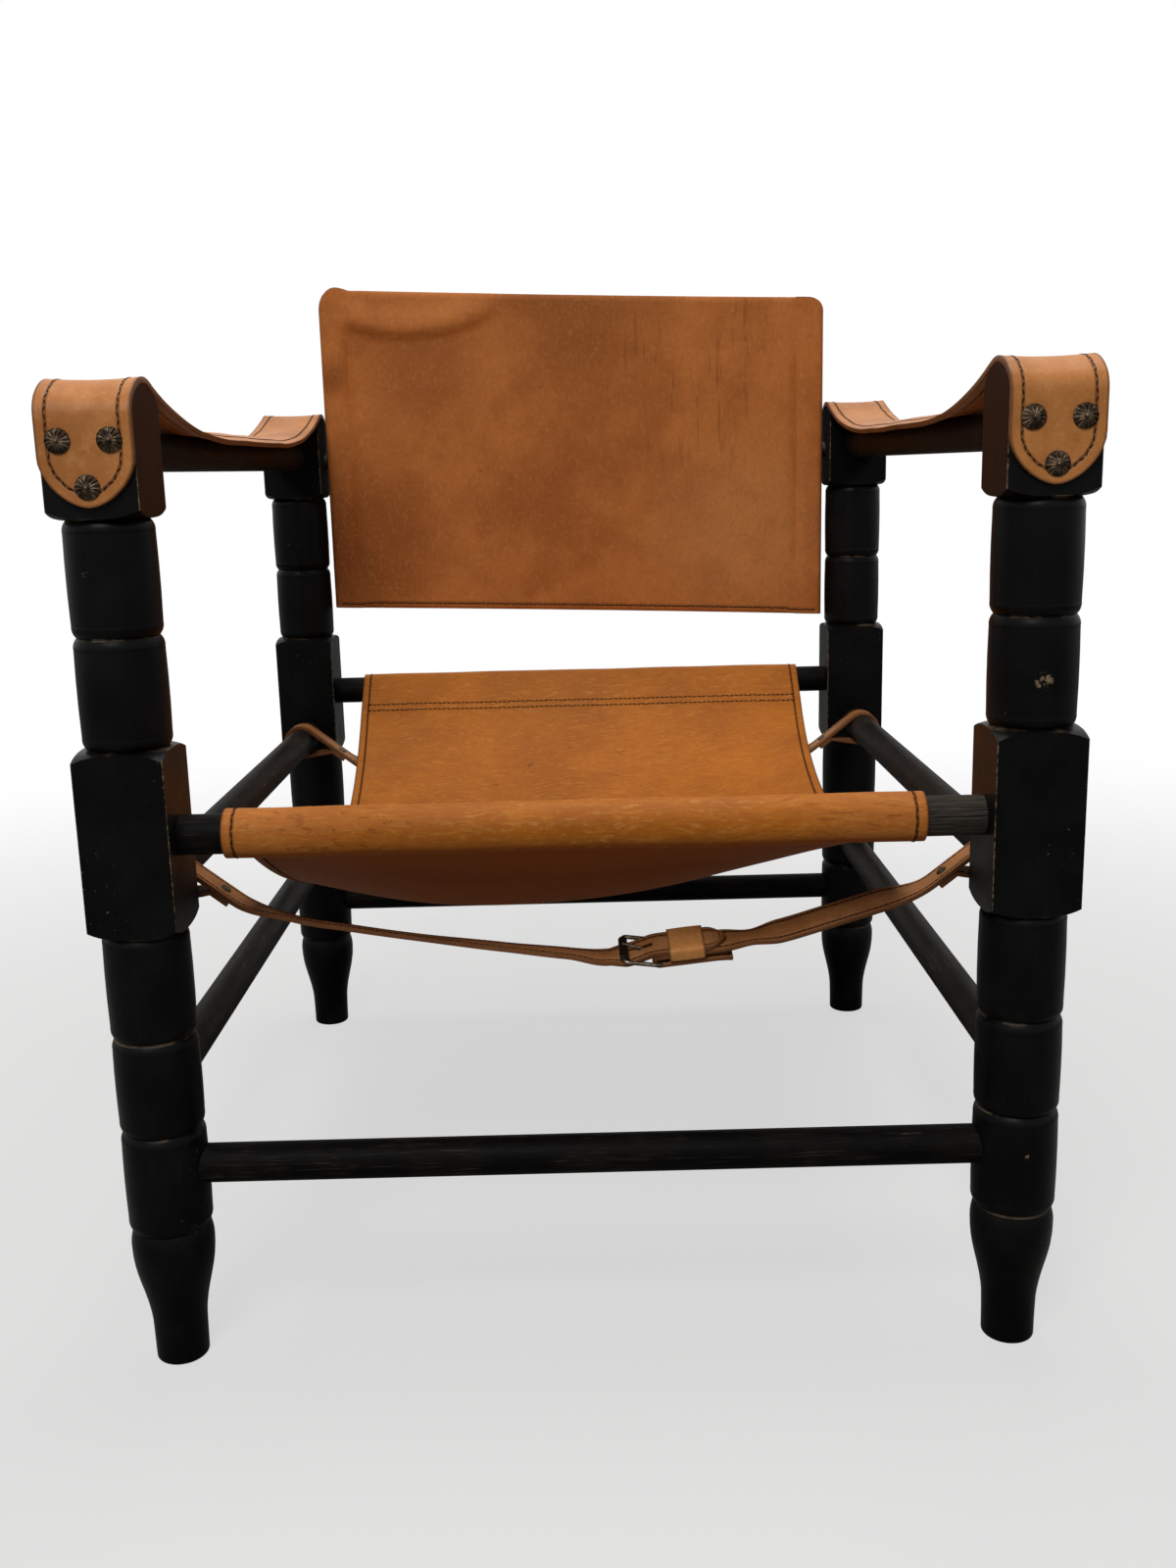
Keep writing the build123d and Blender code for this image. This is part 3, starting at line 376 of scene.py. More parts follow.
# %% Read a line and a face
def face_of(place, u, v):
    """The point and the outward direction of a laid sheet at a share across and along."""
    step = 0.0015
    across = place(min(u + step, 1), v) - place(max(u - step, 0), v)
    along = place(u, min(v + step, 1)) - place(u, max(v - step, 0))
    return place(u, v), across.cross(along).normalized()


def at_row(line, row):
    """The point of a line at a row, which may lie between two of the line's own points."""
    low = min(int(row), len(line) - 2)
    return [a + (b - a) * (row - low) for a, b in zip(line[low], line[low + 1])]


def run_lengths(points):
    """How far along a line each of its points lies."""
    lengths = [0.0]
    for a, b in zip(points, points[1:]):
        lengths.append(lengths[-1] + dist(a, b))
    return lengths


def row_at(lengths, length):
    """The row that lies at a length along a line, from the lengths of its points."""
    low = min(max(bisect(lengths, length) - 1, 0), len(lengths) - 2)
    return low + (length - lengths[low]) / max(lengths[low + 1] - lengths[low], 1e-9)


def smooth(value):
    """Eases a share that is cut off at 0 and 1."""
    value = min(max(value, 0), 1)
    return value * value * (3 - 2 * value)


corner_line = [(0, 0), (1, 0), (1, 1)]
print("1.5 m along a corner of two 1 m legs:", at_row(corner_line, row_at(run_lengths(corner_line), 1.5)))

# %% [markdown]
# ## Sewing
# Each stitch is a short dark bead of thread that dips at both ends. It is modelled once, from a
# small ball stretched along x. Six sides and five rings are enough at this size, since there are
# thousands of them.

# %% One stitch
clear_selection()
bpy.ops.mesh.primitive_uv_sphere_add(segments=6, ring_count=5, radius=0.6 * MM)
one_stitch = bpy.context.object
one_stitch.name = "one_stitch"
bpy.ops.object.mode_set(mode="EDIT")
bpy.ops.mesh.select_all(action="SELECT")
bpy.ops.transform.rotate(value=pi / 2, orient_axis="Y", center_override=(0, 0, 0))
bpy.ops.transform.resize(value=(4.1, 0.85, 0.8), center_override=(0, 0, 0))
bpy.ops.object.mode_set(mode="OBJECT")
print("a stitch is", round(one_stitch.dimensions.x / MM, 1), "mm long")

# %% [markdown]
# A copy of the stitch with its own mesh is set down every 4 to 5 mm along a line on the leather.
# All the stitches of one piece are joined, so they move as one.


# %% Runs of stitches
def sew(name, runs, pitch=5.2 * MM, size=1.0, lean_deg=5):
    """Sets stitches along each run, a list of (point, outward direction), and joins them. They lean
    by turns to one side and the other."""
    made = []
    for run in runs:
        lengths = run_lengths([point for point, _ in run])
        line = [(*point, *outward) for point, outward in run]
        count = max(1, int(lengths[-1] / pitch))
        for number in range(count):
            row = row_at(lengths, (number + 0.5) * lengths[-1] / count)
            x, y, z, *outward = at_row(line, row)
            outward = Vector(outward).normalized()
            heading = run[int(row) + 1][0] - run[int(row)][0]
            side = outward.cross(heading).normalized()
            turn = turned_to(side.cross(outward), side, outward)
            lean = Matrix.Rotation(radians(lean_deg * (-1) ** number), 4, "Z")
            mesh = one_stitch.data.copy()
            mesh.transform(Matrix.Translation((x, y, z)) @ turn @ lean @ Matrix.Scale(size, 4))
            made.append(link_new(name, mesh))
    choose(made[0])
    for piece in made:
        piece.select_set(True)
    bpy.ops.object.join()
    joined = bpy.context.object
    joined.name = joined.data.name = name
    bpy.ops.object.shade_smooth()
    return joined


def run_on(place, line, lift, samples):
    """Points along line(t), a path in shares (u, v), lifted off a laid sheet."""
    side = 1 if lift >= 0 else -1
    faces = [face_of(place, *line(number / samples)) for number in range(samples + 1)]
    return [(point + outward * lift, outward * side) for point, outward in faces]


def run_across(place, inset, v, lift, samples):
    """A seam across a laid sheet at one height, as far from both sides as inset says."""
    return run_on(place, lambda t: (inset + (1 - 2 * inset) * t, v), lift, samples)


def edge_runs(place, seam_u, first, last, lifts, samples):
    """The seams along both sides of a laid sheet, on both of its faces."""
    runs = []
    for edge_u in (seam_u, 1 - seam_u):
        for lift in lifts:
            runs.append(run_on(place, lambda t: (edge_u, first + (last - first) * t), lift, samples))
    return runs


level = run_on(lambda u, v: Vector((u, v, 0)), lambda t: (t, 0.5), 1 * MM, 10)
print("a line on a level sheet, lifted by 1 mm, ends at", [round(c, 3) for c in level[-1][0]])

# %% [markdown]
# Each finished piece gets its one finish and is told which body of the frame it moves with.


# %% Dress a piece
def coat(piece, material):
    """Gives a piece one material in place of any others."""
    piece.data.materials.clear()
    piece.data.materials.append(material)


def dress(piece, material, body):
    """Gives a piece its finish, and the CAD body that it moves with."""
    coat(piece, material)
    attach(piece, body)


# %% [markdown]
# ## The seat's line
# The seat is one piece of leather 474 mm wide. At the front and rear it goes over a round rail,
# comes back beneath and is sewn to itself, and between the rails it hangs. Seen from the side
# its outer face is therefore one long line: tab, loop, slope, middle, slope, loop, tab.

# %% Measures shared with the frame
half_x = 300 * MM
half_y = 330 * MM
half_block = 30 * MM
post_height = 681 * MM


def arc_points(centre, radius, start, end, steps):
    """Points on an arc, angles in degrees, without the last one."""
    angles = [radians(start + (end - start) * number / steps) for number in range(steps)]
    return [(centre[0] + radius * cos(a), centre[1] + radius * sin(a)) for a in angles]


def line_points(start, end, steps):
    """Points on a straight line, without the last one."""
    return [tuple(a + (b - a) * n / steps for a, b in zip(start, end)) for n in range(steps)]


def trace(*parts):
    """Joins arcs (centre, radius, start, end, steps) and lines (start, end, steps) to one line."""
    return [point for part in parts for point in (line_points if len(part) == 3 else arc_points)(*part)]


print("between the posts' axes, mm:", round(2 * half_x / MM), "by", round(2 * half_y / MM))

# %% [markdown]
# Where the leather goes round a bar, it leaves a small gap before it meets itself beneath. The
# loop's line starts at the tab's end, runs to the gap, goes round the bar and leaves above.


# %% The loops and the seat's line
def loop_line(bar, thickness, void, tab, run_out, layer):
    """The line of leather looped round a bar, in u away from the bar and v across, from its tab.
    layer is 1 for the outer face, 0.5 for the middle of the leather."""
    out = bar + layer * thickness
    under = bar - layer * thickness
    reach = hypot(void, bar)
    ux, vx = void / reach, bar / reach
    low = (2 * vx * ux * bar, (2 * vx * vx - 1) * bar)
    touch = (low[0] / bar * out, low[1] / bar * out)
    knee = (void + low[0] / bar * layer * thickness, under)
    return trace(
        ((void + tab, under), knee, 5),
        (knee, touch, 5),
        ((0, 0), out, degrees(atan2(touch[1], touch[0])), -270, 36),
        ((0, out), (void + tab + run_out, out), 10),
    )


sling_t = 3.0 * MM
sling_bore = 13.95 * MM
seat_rail_z = 387 * MM
sling_tilt = radians(43)
sling_loop = loop_line(sling_bore, sling_t, 27 * MM, 16 * MM, 3 * MM, 1)
loop_rows = len(sling_loop)
middle_rows = 96
sling_rows = 2 * loop_rows + middle_rows
sling_end = (46 * MM, sling_bore + sling_t)
sling_side = sling_loop + [sling_end]


def sling_turned(point, end):
    """A point of the loop's line, turned to its rail's slope: (y, z)."""
    inward = -end
    u, v = point
    y = end * half_y + inward * (u * cos(sling_tilt) + v * sin(sling_tilt))
    return y, seat_rail_z - u * sin(sling_tilt) + v * cos(sling_tilt)


sling_end_y, sling_end_z = sling_turned(sling_end, 1)
print("the seat hangs between y =", round(-sling_end_y, 3), "and", round(sling_end_y, 3))

# %% [markdown]
# ## The seat
# Between the loops the middle sinks 112 mm. The side edges sink less, the left one more than the
# right, as the leather has stretched with use, and they draw in by a centimetre because it is
# pulled both ways. The front has slipped 5 mm along its rail. Small waves are added with a fixed
# noise, so that each run is the same. The side seams lie 7.5 mm inside the cut edges.


# %% Lay the seat
sling_half = 237 * MM
slip = -5 * MM
edge_sink, edge_lean, middle_sink = 67 * MM, 19 * MM, 112.4 * MM
draw_in = 10 * MM


def place_seat(u, v):
    """Outer face of the seat: u from left to right, v from the front tab to the rear tab."""
    row = v * sling_rows
    side = 2 * u - 1
    if row < loop_rows or row > loop_rows + middle_rows:
        end = -1 if row < loop_rows else 1
        y, z = sling_turned(at_row(sling_side, row if end < 0 else sling_rows - row), end)
        ripple = 0.6 * MM * noise.noise(Vector((side * 3.5, y * 20, 4.0)))
        return Vector((side * (sling_half + end * 2 * MM) + slip * (1 - end) / 2, y, z + ripple))
    share = 2 * (row - loop_rows) / middle_rows - 1
    y = share * sling_end_y
    fall = 1 - share * share
    edge = (edge_sink - edge_lean * side) * fall
    rim = sling_half + 2 * MM * share - draw_in * fall
    wave = 2.2 * MM * noise.noise(Vector((side * 1.6, share * 1.9, 7.0)))
    wave += 1.0 * MM * noise.noise(Vector((side * 5.0, share * 2.4, 1.0))) * (1 - fall)
    curl = 1.2 * MM * fall * max(0, abs(side) - 0.93) / 0.07
    hollow = (1 - side * side) * (1 - 0.15 * side)
    z = sling_end_z - edge - (middle_sink - edge_sink) * fall * hollow + wave * min(1, 4 * fall) - curl
    return Vector((side * rim + slip * (1 - share) / 2, y, z))


def seat_rim(u, v):
    """Millimetres from the seat's side edges."""
    return min(u, 1 - u) * 2 * sling_half / MM


# The two seams that close a loop lie 35 and 43 mm from the rail's axis, where the sheet's rows are
# 4.6 mm apart. Two more seams run along the tab beneath.
row_mm = 4.6
closing_rows = (loop_rows - 2.4, loop_rows - 0.65)
tab_rows = (0.6, 2.5)


def seat_hem(u, v):
    """Millimetres from the nearest of the two sewn lines that close a loop."""
    row = v * sling_rows
    row = min(row, sling_rows - row)
    return min(abs(row - line) for line in closing_rows) * row_mm if 0.014 < u < 0.986 else 9.0


seat = lay_sheet("leather_seat", 110, sling_rows, place_seat, sling_t, -1, seat_rim, seat_hem)
seat_length = run_lengths([place_seat(0.5, n / sling_rows) for n in range(sling_rows + 1)])[-1]
print("seat cut, mm: 474 by", round(seat_length / MM))

# %% [markdown]
# A seam runs along each side, on both faces. Each loop is closed by two lines of stitches, and
# two more run along its tab. The closing lines are lifted by half a millimetre more, to show.

# %% Sew the seat
seam_u = seam_mm * MM / (2 * sling_half)
seat_runs = edge_runs(place_seat, seam_u, 0.03, 0.97, (0.1 * MM, -sling_t - 0.1 * MM), 500)
for rows, inset, lift in ((closing_rows, 0.014, 0.6 * MM), (tab_rows, 0.012, 0.1 * MM)):
    for row in rows + tuple(sling_rows - row for row in rows):
        seat_runs.append(run_across(place_seat, inset, row / sling_rows, lift, 200))
seat_thread = sew("seat_stitching", seat_runs, 5.0 * MM, 1.0, 15)
print("seams on the seat:", len(seat_runs))
dress(seat, seat_leather, "frame")
dress(seat_thread, waxed_thread, "frame")
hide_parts("seat_sling")

# %% [markdown]
# ## The back cover
# The back is one sheet with a sleeve down each side for a wooden upright. Seen from above, its
# line starts at the left sleeve's hem, goes round the sleeve, crosses the front and goes round
# the right one. The top and bottom edges are turned over to the rear and sewn. On this chair the
# cover has slipped on its uprights: its left side sits 10 mm higher, its right side 10 mm lower.

# %% The cover's line in plan
bolt_y = half_y + 8 * MM
cover_x = 266.7 * MM
sleeve_x = cover_x - 14.2 * MM
sleeve_half_w = 14.2 * MM
sleeve_half_d = 12.2 * MM
sleeve_corner = 6 * MM
cover_front = bolt_y - sleeve_half_d
back_t = 3 * MM
edge_x = sleeve_x - sleeve_half_w + sleeve_corner
back_low, back_top = 469 * MM, 802 * MM


def bow(x):
    """How far the sheet lies behind its straight line, deepest at the middle."""
    return 9 * MM * (1 - (x / edge_x) ** 2)


def sleeve_line():
    """The right sleeve in plan, from the front sheet's edge round to the end of its hem."""
    r, front, rear = sleeve_corner, cover_front, bolt_y + sleeve_half_d
    outer, inner = cover_x, sleeve_x - sleeve_half_w
    hem_y, hem_r, hem_end = cover_front + 2 * back_t, 3 * MM, edge_x - 26 * MM
    points = trace(
        ((edge_x, front), (outer - r, front), 4),
        ((outer - r, front + r), r, -90, 0, 6),
        ((outer, front + r), (outer, rear - r), 3),
        ((outer - r, rear - r), r, 0, 90, 6),
        ((outer - r, rear), (inner + r, rear), 4),
        ((inner + r, rear - r), r, 90, 180, 6),
        ((inner, rear - r), (inner, hem_y + hem_r), 3),
        ((inner - hem_r, hem_y + hem_r), hem_r, 0, -90, 4),
    )
    hem = line_points((inner - hem_r, 0), (hem_end, 0), 5) + [(hem_end, 0)]
    return points + [(x, hem_y + bow(x)) for x, _ in hem]


right_sleeve = sleeve_line()
front_line = [(x, cover_front + bow(x)) for x, _ in line_points((-edge_x, 0), (edge_x, 0), 84)]
cover_line = [(-x, y) for x, y in reversed(right_sleeve)][:-1] + front_line + right_sleeve
cover_columns = len(cover_line) - 1
sleeve_columns = len(right_sleeve) - 1
print("columns round the cover:", cover_columns)

# %% [markdown]
# Down the cover, the rows start inside the bottom fold, come round the bottom edge, go up the
# front, over the top edge and down behind it. At the sleeves there is no fold: above the upright's
# end the sleeve's back leans forward and is sewn shut against its front. The top corners are
# rounded, the left one lower down and with a small bump beside it, and below that one the leather
# hangs in a soft swag.

# %% Folds, corners and the swag
low_fold, top_fold = 5, 7
face_rows = 72
cover_rows = low_fold + face_rows + top_fold
skew = 10 * MM
upright_top = 782 * MM
# How far out the folded edges reach and the flaps behind them, the bend's radius, how deep each
# flap is, and the share of a fold's rows that its bend takes.
fold_x, flap_x, fold_r = 236 * MM, 219 * MM, 3 * MM
top_flap, low_flap = 24 * MM, 11 * MM
round_rows = 0.43
left_corner, right_corner = (16 * MM, 25 * MM), (16 * MM, 15 * MM)
bump_x, crease_x = -247 * MM, 238.5 * MM


def swag(x, below_top):
    """How far the top left swag stands forward, at a place across and a depth below the top."""
    if not -0.25 < x < -0.072:
        return 0
    if x > -0.185:
        depth = 46 * MM * sqrt(1 - ((x + 0.185) / 0.113) ** 2)
    else:
        depth = 46 * MM - 12 * MM * ((x + 0.185) / 0.062) ** 2
    above = depth - below_top
    lip = smooth((above + 5 * MM) / (9 * MM)) * (1 - 0.8 * smooth((above - 6 * MM) / (30 * MM)))
    return 6 * MM * lip * smooth((-0.07 - x) / 0.04) * smooth((x + 0.25) / 0.02)


print("the swag stands out, mm:", round(swag(-0.185, 40 * MM) / MM, 1))

# %% [markdown]
# The rule that lays the cover reads the plan line across and the folds along. It then adds small
# waves, two creases, the swag and the corners, and sets the left side higher than the right. How
# far a vertex is from the bottom seam and the cut edges is worked out from its column and row.


# %% Lay the back cover
def place_cover(u, v):
    """Outer face of the back cover: u round the plan line, v from the bottom fold to the top fold."""
    column = u * cover_columns
    x, y = at_row(cover_line, column)
    on_front = sleeve_columns <= column <= cover_columns - sleeve_columns
    row = v * cover_rows
    share = min(max((row - low_fold) / face_rows, 0), 1)
    fold = smooth((fold_x - abs(x)) / (10 * MM)) if on_front else 0
    flap = smooth((flap_x - abs(x)) / (6 * MM)) if on_front else 0
    turned_in = fold_r * fold + 1.5 * MM * (1 - fold)
    z = back_low + turned_in + (back_top - back_low - 2 * turned_in) * share
    at_top = row > low_fold + face_rows / 2
    turn = (row - low_fold - face_rows) / top_fold if at_top else (low_fold - row) / low_fold
    if turn > 0:
        bend, rest = min(turn / round_rows, 1), max(0, turn - round_rows) / (1 - round_rows)
        y += fold * fold_r * (1 - cos(pi * bend))
        rise = fold * fold_r * sin(pi * bend) - flap * (top_flap if at_top else low_flap) * rest
        rise += (1 - fold) * 1.5 * MM * turn
        z += rise if at_top else -rise
    lift = -skew * x / cover_x
    if not on_front:
        shut = min(max((z + lift - upright_top) / (back_top + lift - upright_top), 0), 1)
        behind = (y - cover_front) / (2 * sleeve_half_d)
        shut_y = cover_front + 2 * back_t * min(1, 4 * behind)
        y += (shut_y - y) * (1 - sqrt(1 - shut * shut))
    else:
        y += 1.6 * MM * noise.noise(Vector((x * 7, z * 8, 2.0))) * sin(pi * share)
        crease = smooth(1 - abs(abs(x) - crease_x) / (8 * MM))
        y += 3.4 * MM * crease * min(1, 6 * share, 6 * (1 - share))
        y -= swag(x, back_top - z)
    corner_w, corner_h = left_corner if x < 0 else right_corner
    outward = max(0, abs(x) - (cover_x - corner_w)) / corner_w
    fall = corner_h * (1 - sqrt(max(0, 1 - outward * outward)))
    z -= fall * smooth((z - back_top + 60 * MM) / (56 * MM))
    bump = smooth(1 - abs(x - bump_x) / (14 * MM)) * smooth((z - back_top + 16 * MM) / (12 * MM))
    z += 2.5 * MM * bump
    return Vector((x, y, z + lift))


# A column at a side hem is 4.2 mm wide. The flat part of the front is 327 mm high between the
# folds, and the lines sewn along it lie 6 mm above the bottom edge and 21 mm below the top edge.
column_mm, face_mm, fold_mm = 4.2, 327, 3
hem_up_mm, hem_down_mm = 6, 21


def cover_rim(u, v):
    """Millimetres from the side hems' cut edges, and from the folded edges' cut ends."""
    row = v * cover_rows
    from_end = no_seam
    if row < low_fold:
        from_end = row * 4
    if row > low_fold + face_rows:
        from_end = (cover_rows - row) * 6
    return min(min(u, 1 - u) * cover_columns * column_mm, from_end)


def cover_hem(u, v):
    """Distance from the sewn line along the bottom, on the front. The heavy thread there presses a
    groove 1.5 times as wide as the other seams', so each millimetre counts for less."""
    if not sleeve_columns - 4 <= u * cover_columns <= cover_columns - sleeve_columns + 4:
        return 9.0
    return abs((v * cover_rows - low_fold) / face_rows * face_mm + fold_mm - hem_up_mm) / 1.5


cover = lay_sheet("leather_back", cover_columns, cover_rows, place_cover, back_t, -1, cover_rim, cover_hem)
cover_flat = (run_lengths(cover_line)[-1], back_top - back_low + 14 * MM + 28 * MM)
print("back cut, mm:", round(cover_flat[0] / MM), "by", round(cover_flat[1] / MM))

# %% [markdown]
# A heavy seam shows along the bottom of the front. Behind, two lines hold the turned-over edges,
# and one runs along each sleeve's hem.

# %% Sew the back cover
low_v = (low_fold + (hem_up_mm - fold_mm) / face_mm * face_rows) / cover_rows
top_v = (low_fold + (face_mm + fold_mm - hem_down_mm) / face_mm * face_rows) / cover_rows
front_u = (sleeve_columns - 3.6) / cover_columns
hem_u = 2.2 / cover_columns
behind_u = (sleeve_columns + 8.5) / cover_columns
behind = -2 * back_t - 0.2 * MM
back_runs = []
for inset, row_v, lift in ((front_u, low_v, 0.1 * MM), (behind_u, low_v, behind), (behind_u, top_v, behind)):
    back_runs.append(run_across(place_cover, inset, row_v, lift, 240))
back_runs += edge_runs(place_cover, hem_u, 0.07, 0.92, (0.1 * MM,), 240)
back_thread = sew("back_stitching", back_runs, size=1.4)
print("seams on the back:", len(back_runs))
dress(cover, back_leather, "backrest")
dress(back_thread, waxed_thread, "backrest")
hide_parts("back_cover")

# %% [markdown]
# ## The arm straps
# Each arm is a doubled strap 60 mm wide. From a rounded tongue nailed to the front post's face
# it rises over the arched crown, sinks to the round arm rail, where its edges droop to both
# sides, and rises again over the rear crown. The nails pull shallow dimples in the tongues.

# %% The strap's line
strap_t = 4 * MM
strap_gap = 0.2 * MM
strap_width = 60 * MM
arch_corner = 14 * MM
arch_crown = 38.33 * MM
arch_spring_z = post_height - 20 * MM
tongue_tip_z = 605 * MM
arm_rail_z = 640 * MM
join_deg = degrees(atan2(16, 18.33))
leave_deg = 18
outer_gap = strap_gap + strap_t
tongue_steps = (0.04, 0.5, 1.4, 2.8, 4.6, 7, 10, 13.5, 17.5, 22, 27, 32, 38, 44, 50)


def crown_line():
    """From the tongue's tip to where the strap leaves the rear crown, as (y, z) of its outer face."""
    face_y = half_y + half_block + outer_gap
    corner = (half_y + half_block - arch_corner, arch_spring_z)
    crown = (half_y, post_height - arch_crown)
    return [(face_y, tongue_tip_z + step * MM) for step in tongue_steps] + trace(
        (corner, arch_corner + outer_gap, 0, 90 - join_deg, 7),
        (crown, arch_crown + outer_gap, 90 - join_deg, 90 + leave_deg, 12),
    )


crown_part = crown_line()
crown_radius = arch_crown + outer_gap
hang_y = half_y - crown_radius * sin(radians(leave_deg))
hang_z = post_height - arch_crown + crown_radius * cos(radians(leave_deg))
rest_z = arm_rail_z + 13.5 * MM + outer_gap
flat_half = 120 * MM
hang_power = tan(radians(leave_deg)) * (hang_y - flat_half) / (hang_z - rest_z)


def hang_share(y):
    """0 where the strap lies on the rail, 1 where it leaves the crown."""
    return max(0, (abs(y) - flat_half) / (hang_y - flat_half))


strap_line = crown_part[:]
for y, _ in line_points((hang_y, 0), (-hang_y, 0), 84):
    strap_line.append((y, rest_z + (hang_z - rest_z) * hang_share(y) ** hang_power))
strap_line.append((-hang_y, hang_z))
strap_line += [(-y, z) for y, z in reversed(crown_part)]
strap_rows = len(strap_line) - 1
strap_lengths = run_lengths(strap_line)
strap_total = strap_lengths[-1]
strap_points = [(y, z, length) for (y, z), length in zip(strap_line, strap_lengths)]
print("strap length, mm:", round(strap_total / MM))

# %% [markdown]
# Across the strap, its half width narrows in the tongues. Along it, three places need more than
# the line: the drooping edges over the rail, the dip over a crown, and the nails' dimples.

# %% Lay the arm straps
stud_places = ((-16, 646), (16, 646), (0, 617.5))
tongue_power = 1.7
strap_half = strap_width / 2


def half_width(run):
    """Half the strap's width at a length along it. Each tongue is a little more pointed than round."""
    near = min(run, strap_total - run) / strap_half
    if near >= 1:
        return strap_half
    return strap_half * (1 - (1 - near) ** tongue_power) ** (1 / tongue_power) + 0.02 * MM


def strap_place(side):
    """The rule that lays one arm strap: u across, v from the rear tongue to the front one."""

    def place(u, v):
        y, z, run = at_row(strap_points, v * strap_rows)
        across = (1 - 2 * u) * half_width(run)
        wide = across / strap_half
        if abs(y) < hang_y:
            share = hang_share(y)
            z -= 7 * MM * (1 - share) * wide * wide
            z += 0.8 * MM * noise.noise(Vector((wide * 1.3, y * 16, side)))
        elif z > arch_spring_z:
            dip = sin(radians(90 * min(1, (z - arch_spring_z) / (20 * MM))))
            z -= 1.4 * MM * dip * (1 - wide * wide)
        else:
            toward = 1 if y > 0 else -1
            for stud_x, stud_z in stud_places:
                away = hypot(across / MM - stud_x, z / MM - stud_z)
                y -= toward * 0.7 * MM * max(0, 1 - away / 12) ** 2
            y += toward * 0.5 * MM * max(0, 1 - (z - tongue_tip_z) / (20 * MM))
        return Vector((side * half_x + across, y, z))

    return place


def strap_rim(u, v):
    """Millimetres from the strap's outline, round its tongues too."""
    run = at_row(strap_points, v * strap_rows)[2]
    left = max(0, strap_half - min(run, strap_total - run))
    across = abs(1 - 2 * u) * half_width(run)
    return (strap_half - (across**tongue_power + left**tongue_power) ** (1 / tongue_power)) / MM


print("strap width 10 mm from a tip, mm:", round(2 * half_width(10 * MM) / MM, 1))

# %% [markdown]
# A seam follows the outline 7.5 mm inside it, round both tongues, and wanders a little as a
# hand-sewn one does.


# %% Sew the arm straps
def strap_seam(place, sign, lift):
    """One side's seam from the middle of a tongue, along the strap, to the middle of the other."""
    radius, power = strap_half - seam_mm * MM, 2 / tongue_power
    turns = [pi / 2 * n / 40 for n in range(41)]
    ends = [(radius * sin(a) ** power, strap_half - radius * cos(a) ** power) for a in turns]
    spots = ends + line_points((radius, strap_half), (radius, strap_total - strap_half), 260)[1:]
    spots += [(a, strap_total - r) for a, r in reversed(ends)]
    run = []
    for across, length in spots:
        wander = 0.8 * MM * noise.noise(Vector((length * 60, sign * 3.0, place(0.5, 0.5).x * 9)))
        u = 0.5 - sign * 0.5 * min(1, (across + wander) / half_width(length))
        point, outward = face_of(place, u, row_at(strap_lengths, length) / strap_rows)
        run.append((point + outward * lift, outward * (1 if lift > 0 else -1)))
    return run


arm_pitch = 4.8 * MM
for side, name in ((-1, "left"), (1, "right")):
    rule = strap_place(side)
    strap = lay_sheet(f"{name}_leather_arm", 24, strap_rows, rule, strap_t, -1, strap_rim, None, 1.0 * MM)
    seams = [strap_seam(rule, sign, 0.1 * MM) for sign in (-1, 1)]
    thread = sew(f"{name}_arm_stitching", seams, arm_pitch, 0.85, 16)
    dress(strap, arm_leather, "frame")
    dress(thread, waxed_thread, "frame")
    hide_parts(f"{name}_arm_strap")
print("stitches per arm: about", round(2 * strap_total / arm_pitch))

# %% [markdown]
# ## The belts
# Under the seat, a belt at the front and one at the rear draw the side rails together. The left
# half is a tongue; the right half is folded round the buckle's bar. Both halves start in a loop
# round a side rail, closed by a rivet. A belt is laid on stations: places along its middle, each
# with the direction across it, which turns as the belt twists towards the buckle.

# %% Stations of a belt
belt_t = 3.2 * MM
belt_width = 25 * MM
belt_bore = 14.2 * MM
tip_power = 1.35
side_rail_z = 343 * MM
belt_lead = radians(38)
buckle_z = 273 * MM
buckle_tilt, buckle_rise = 18, 6


def across_at(fall_deg, twist_deg):
    """The direction across a belt that falls along +x by one angle and is twisted by another."""
    fall, twist = radians(fall_deg), radians(twist_deg)
    return Vector((sin(twist) * sin(fall), cos(twist), sin(twist) * cos(fall)))


def curve_between(a, b, steps):
    """Stations between two (place, fall, twist), on one smooth curve, without the last one."""
    (pa, fa, ta), (pb, fb, tb) = a, b
    length = (pb - pa).length
    da = Vector((cos(radians(fa)), 0, -sin(radians(fa)))) * length
    db = Vector((cos(radians(fb)), 0, -sin(radians(fb)))) * length
    stations = []
    for number in range(steps):
        t = number / steps
        h = (2 * t**3 - 3 * t**2 + 1, t**3 - 2 * t**2 + t, -2 * t**3 + 3 * t**2, t**3 - t**2)
        place = pa * h[0] + da * h[1] + pb * h[2] + db * h[3]
        stations.append((place, across_at(fa + (fb - fa) * smooth(t), ta + (tb - ta) * smooth(t))))
    return stations


print("across a level belt:", [round(part, 2) for part in across_at(0, 0)])

# %% [markdown]
# The ends of a belt are laid beside the side rails, and its middle in the buckle's plane, which
# is tilted as the photograph shows it. Small functions give a place or stations in either one.


# %% Places by the rails and by the buckle
def by_rail(y, side, u, v):
    """A place beside a side rail, u down the belt's slope and v square to it."""
    x = side * half_x - side * (u * cos(belt_lead) + v * sin(belt_lead))
    return Vector((x, y, side_rail_z - u * sin(belt_lead) + v * cos(belt_lead)))


def loop_stations(y, side):
    """The loop round a side rail, from its tab to where the belt leaves."""
    loop = loop_line(belt_bore, belt_t, 32 * MM, 16 * MM, 2 * MM, 0.5)
    return [(by_rail(y, side, u, v), Vector((0, 1, 0))) for u, v in loop]


def loop_leaves(y, side):
    """Where the belt's free part begins."""
    return by_rail(y, side, 50 * MM, belt_bore + belt_t / 2)


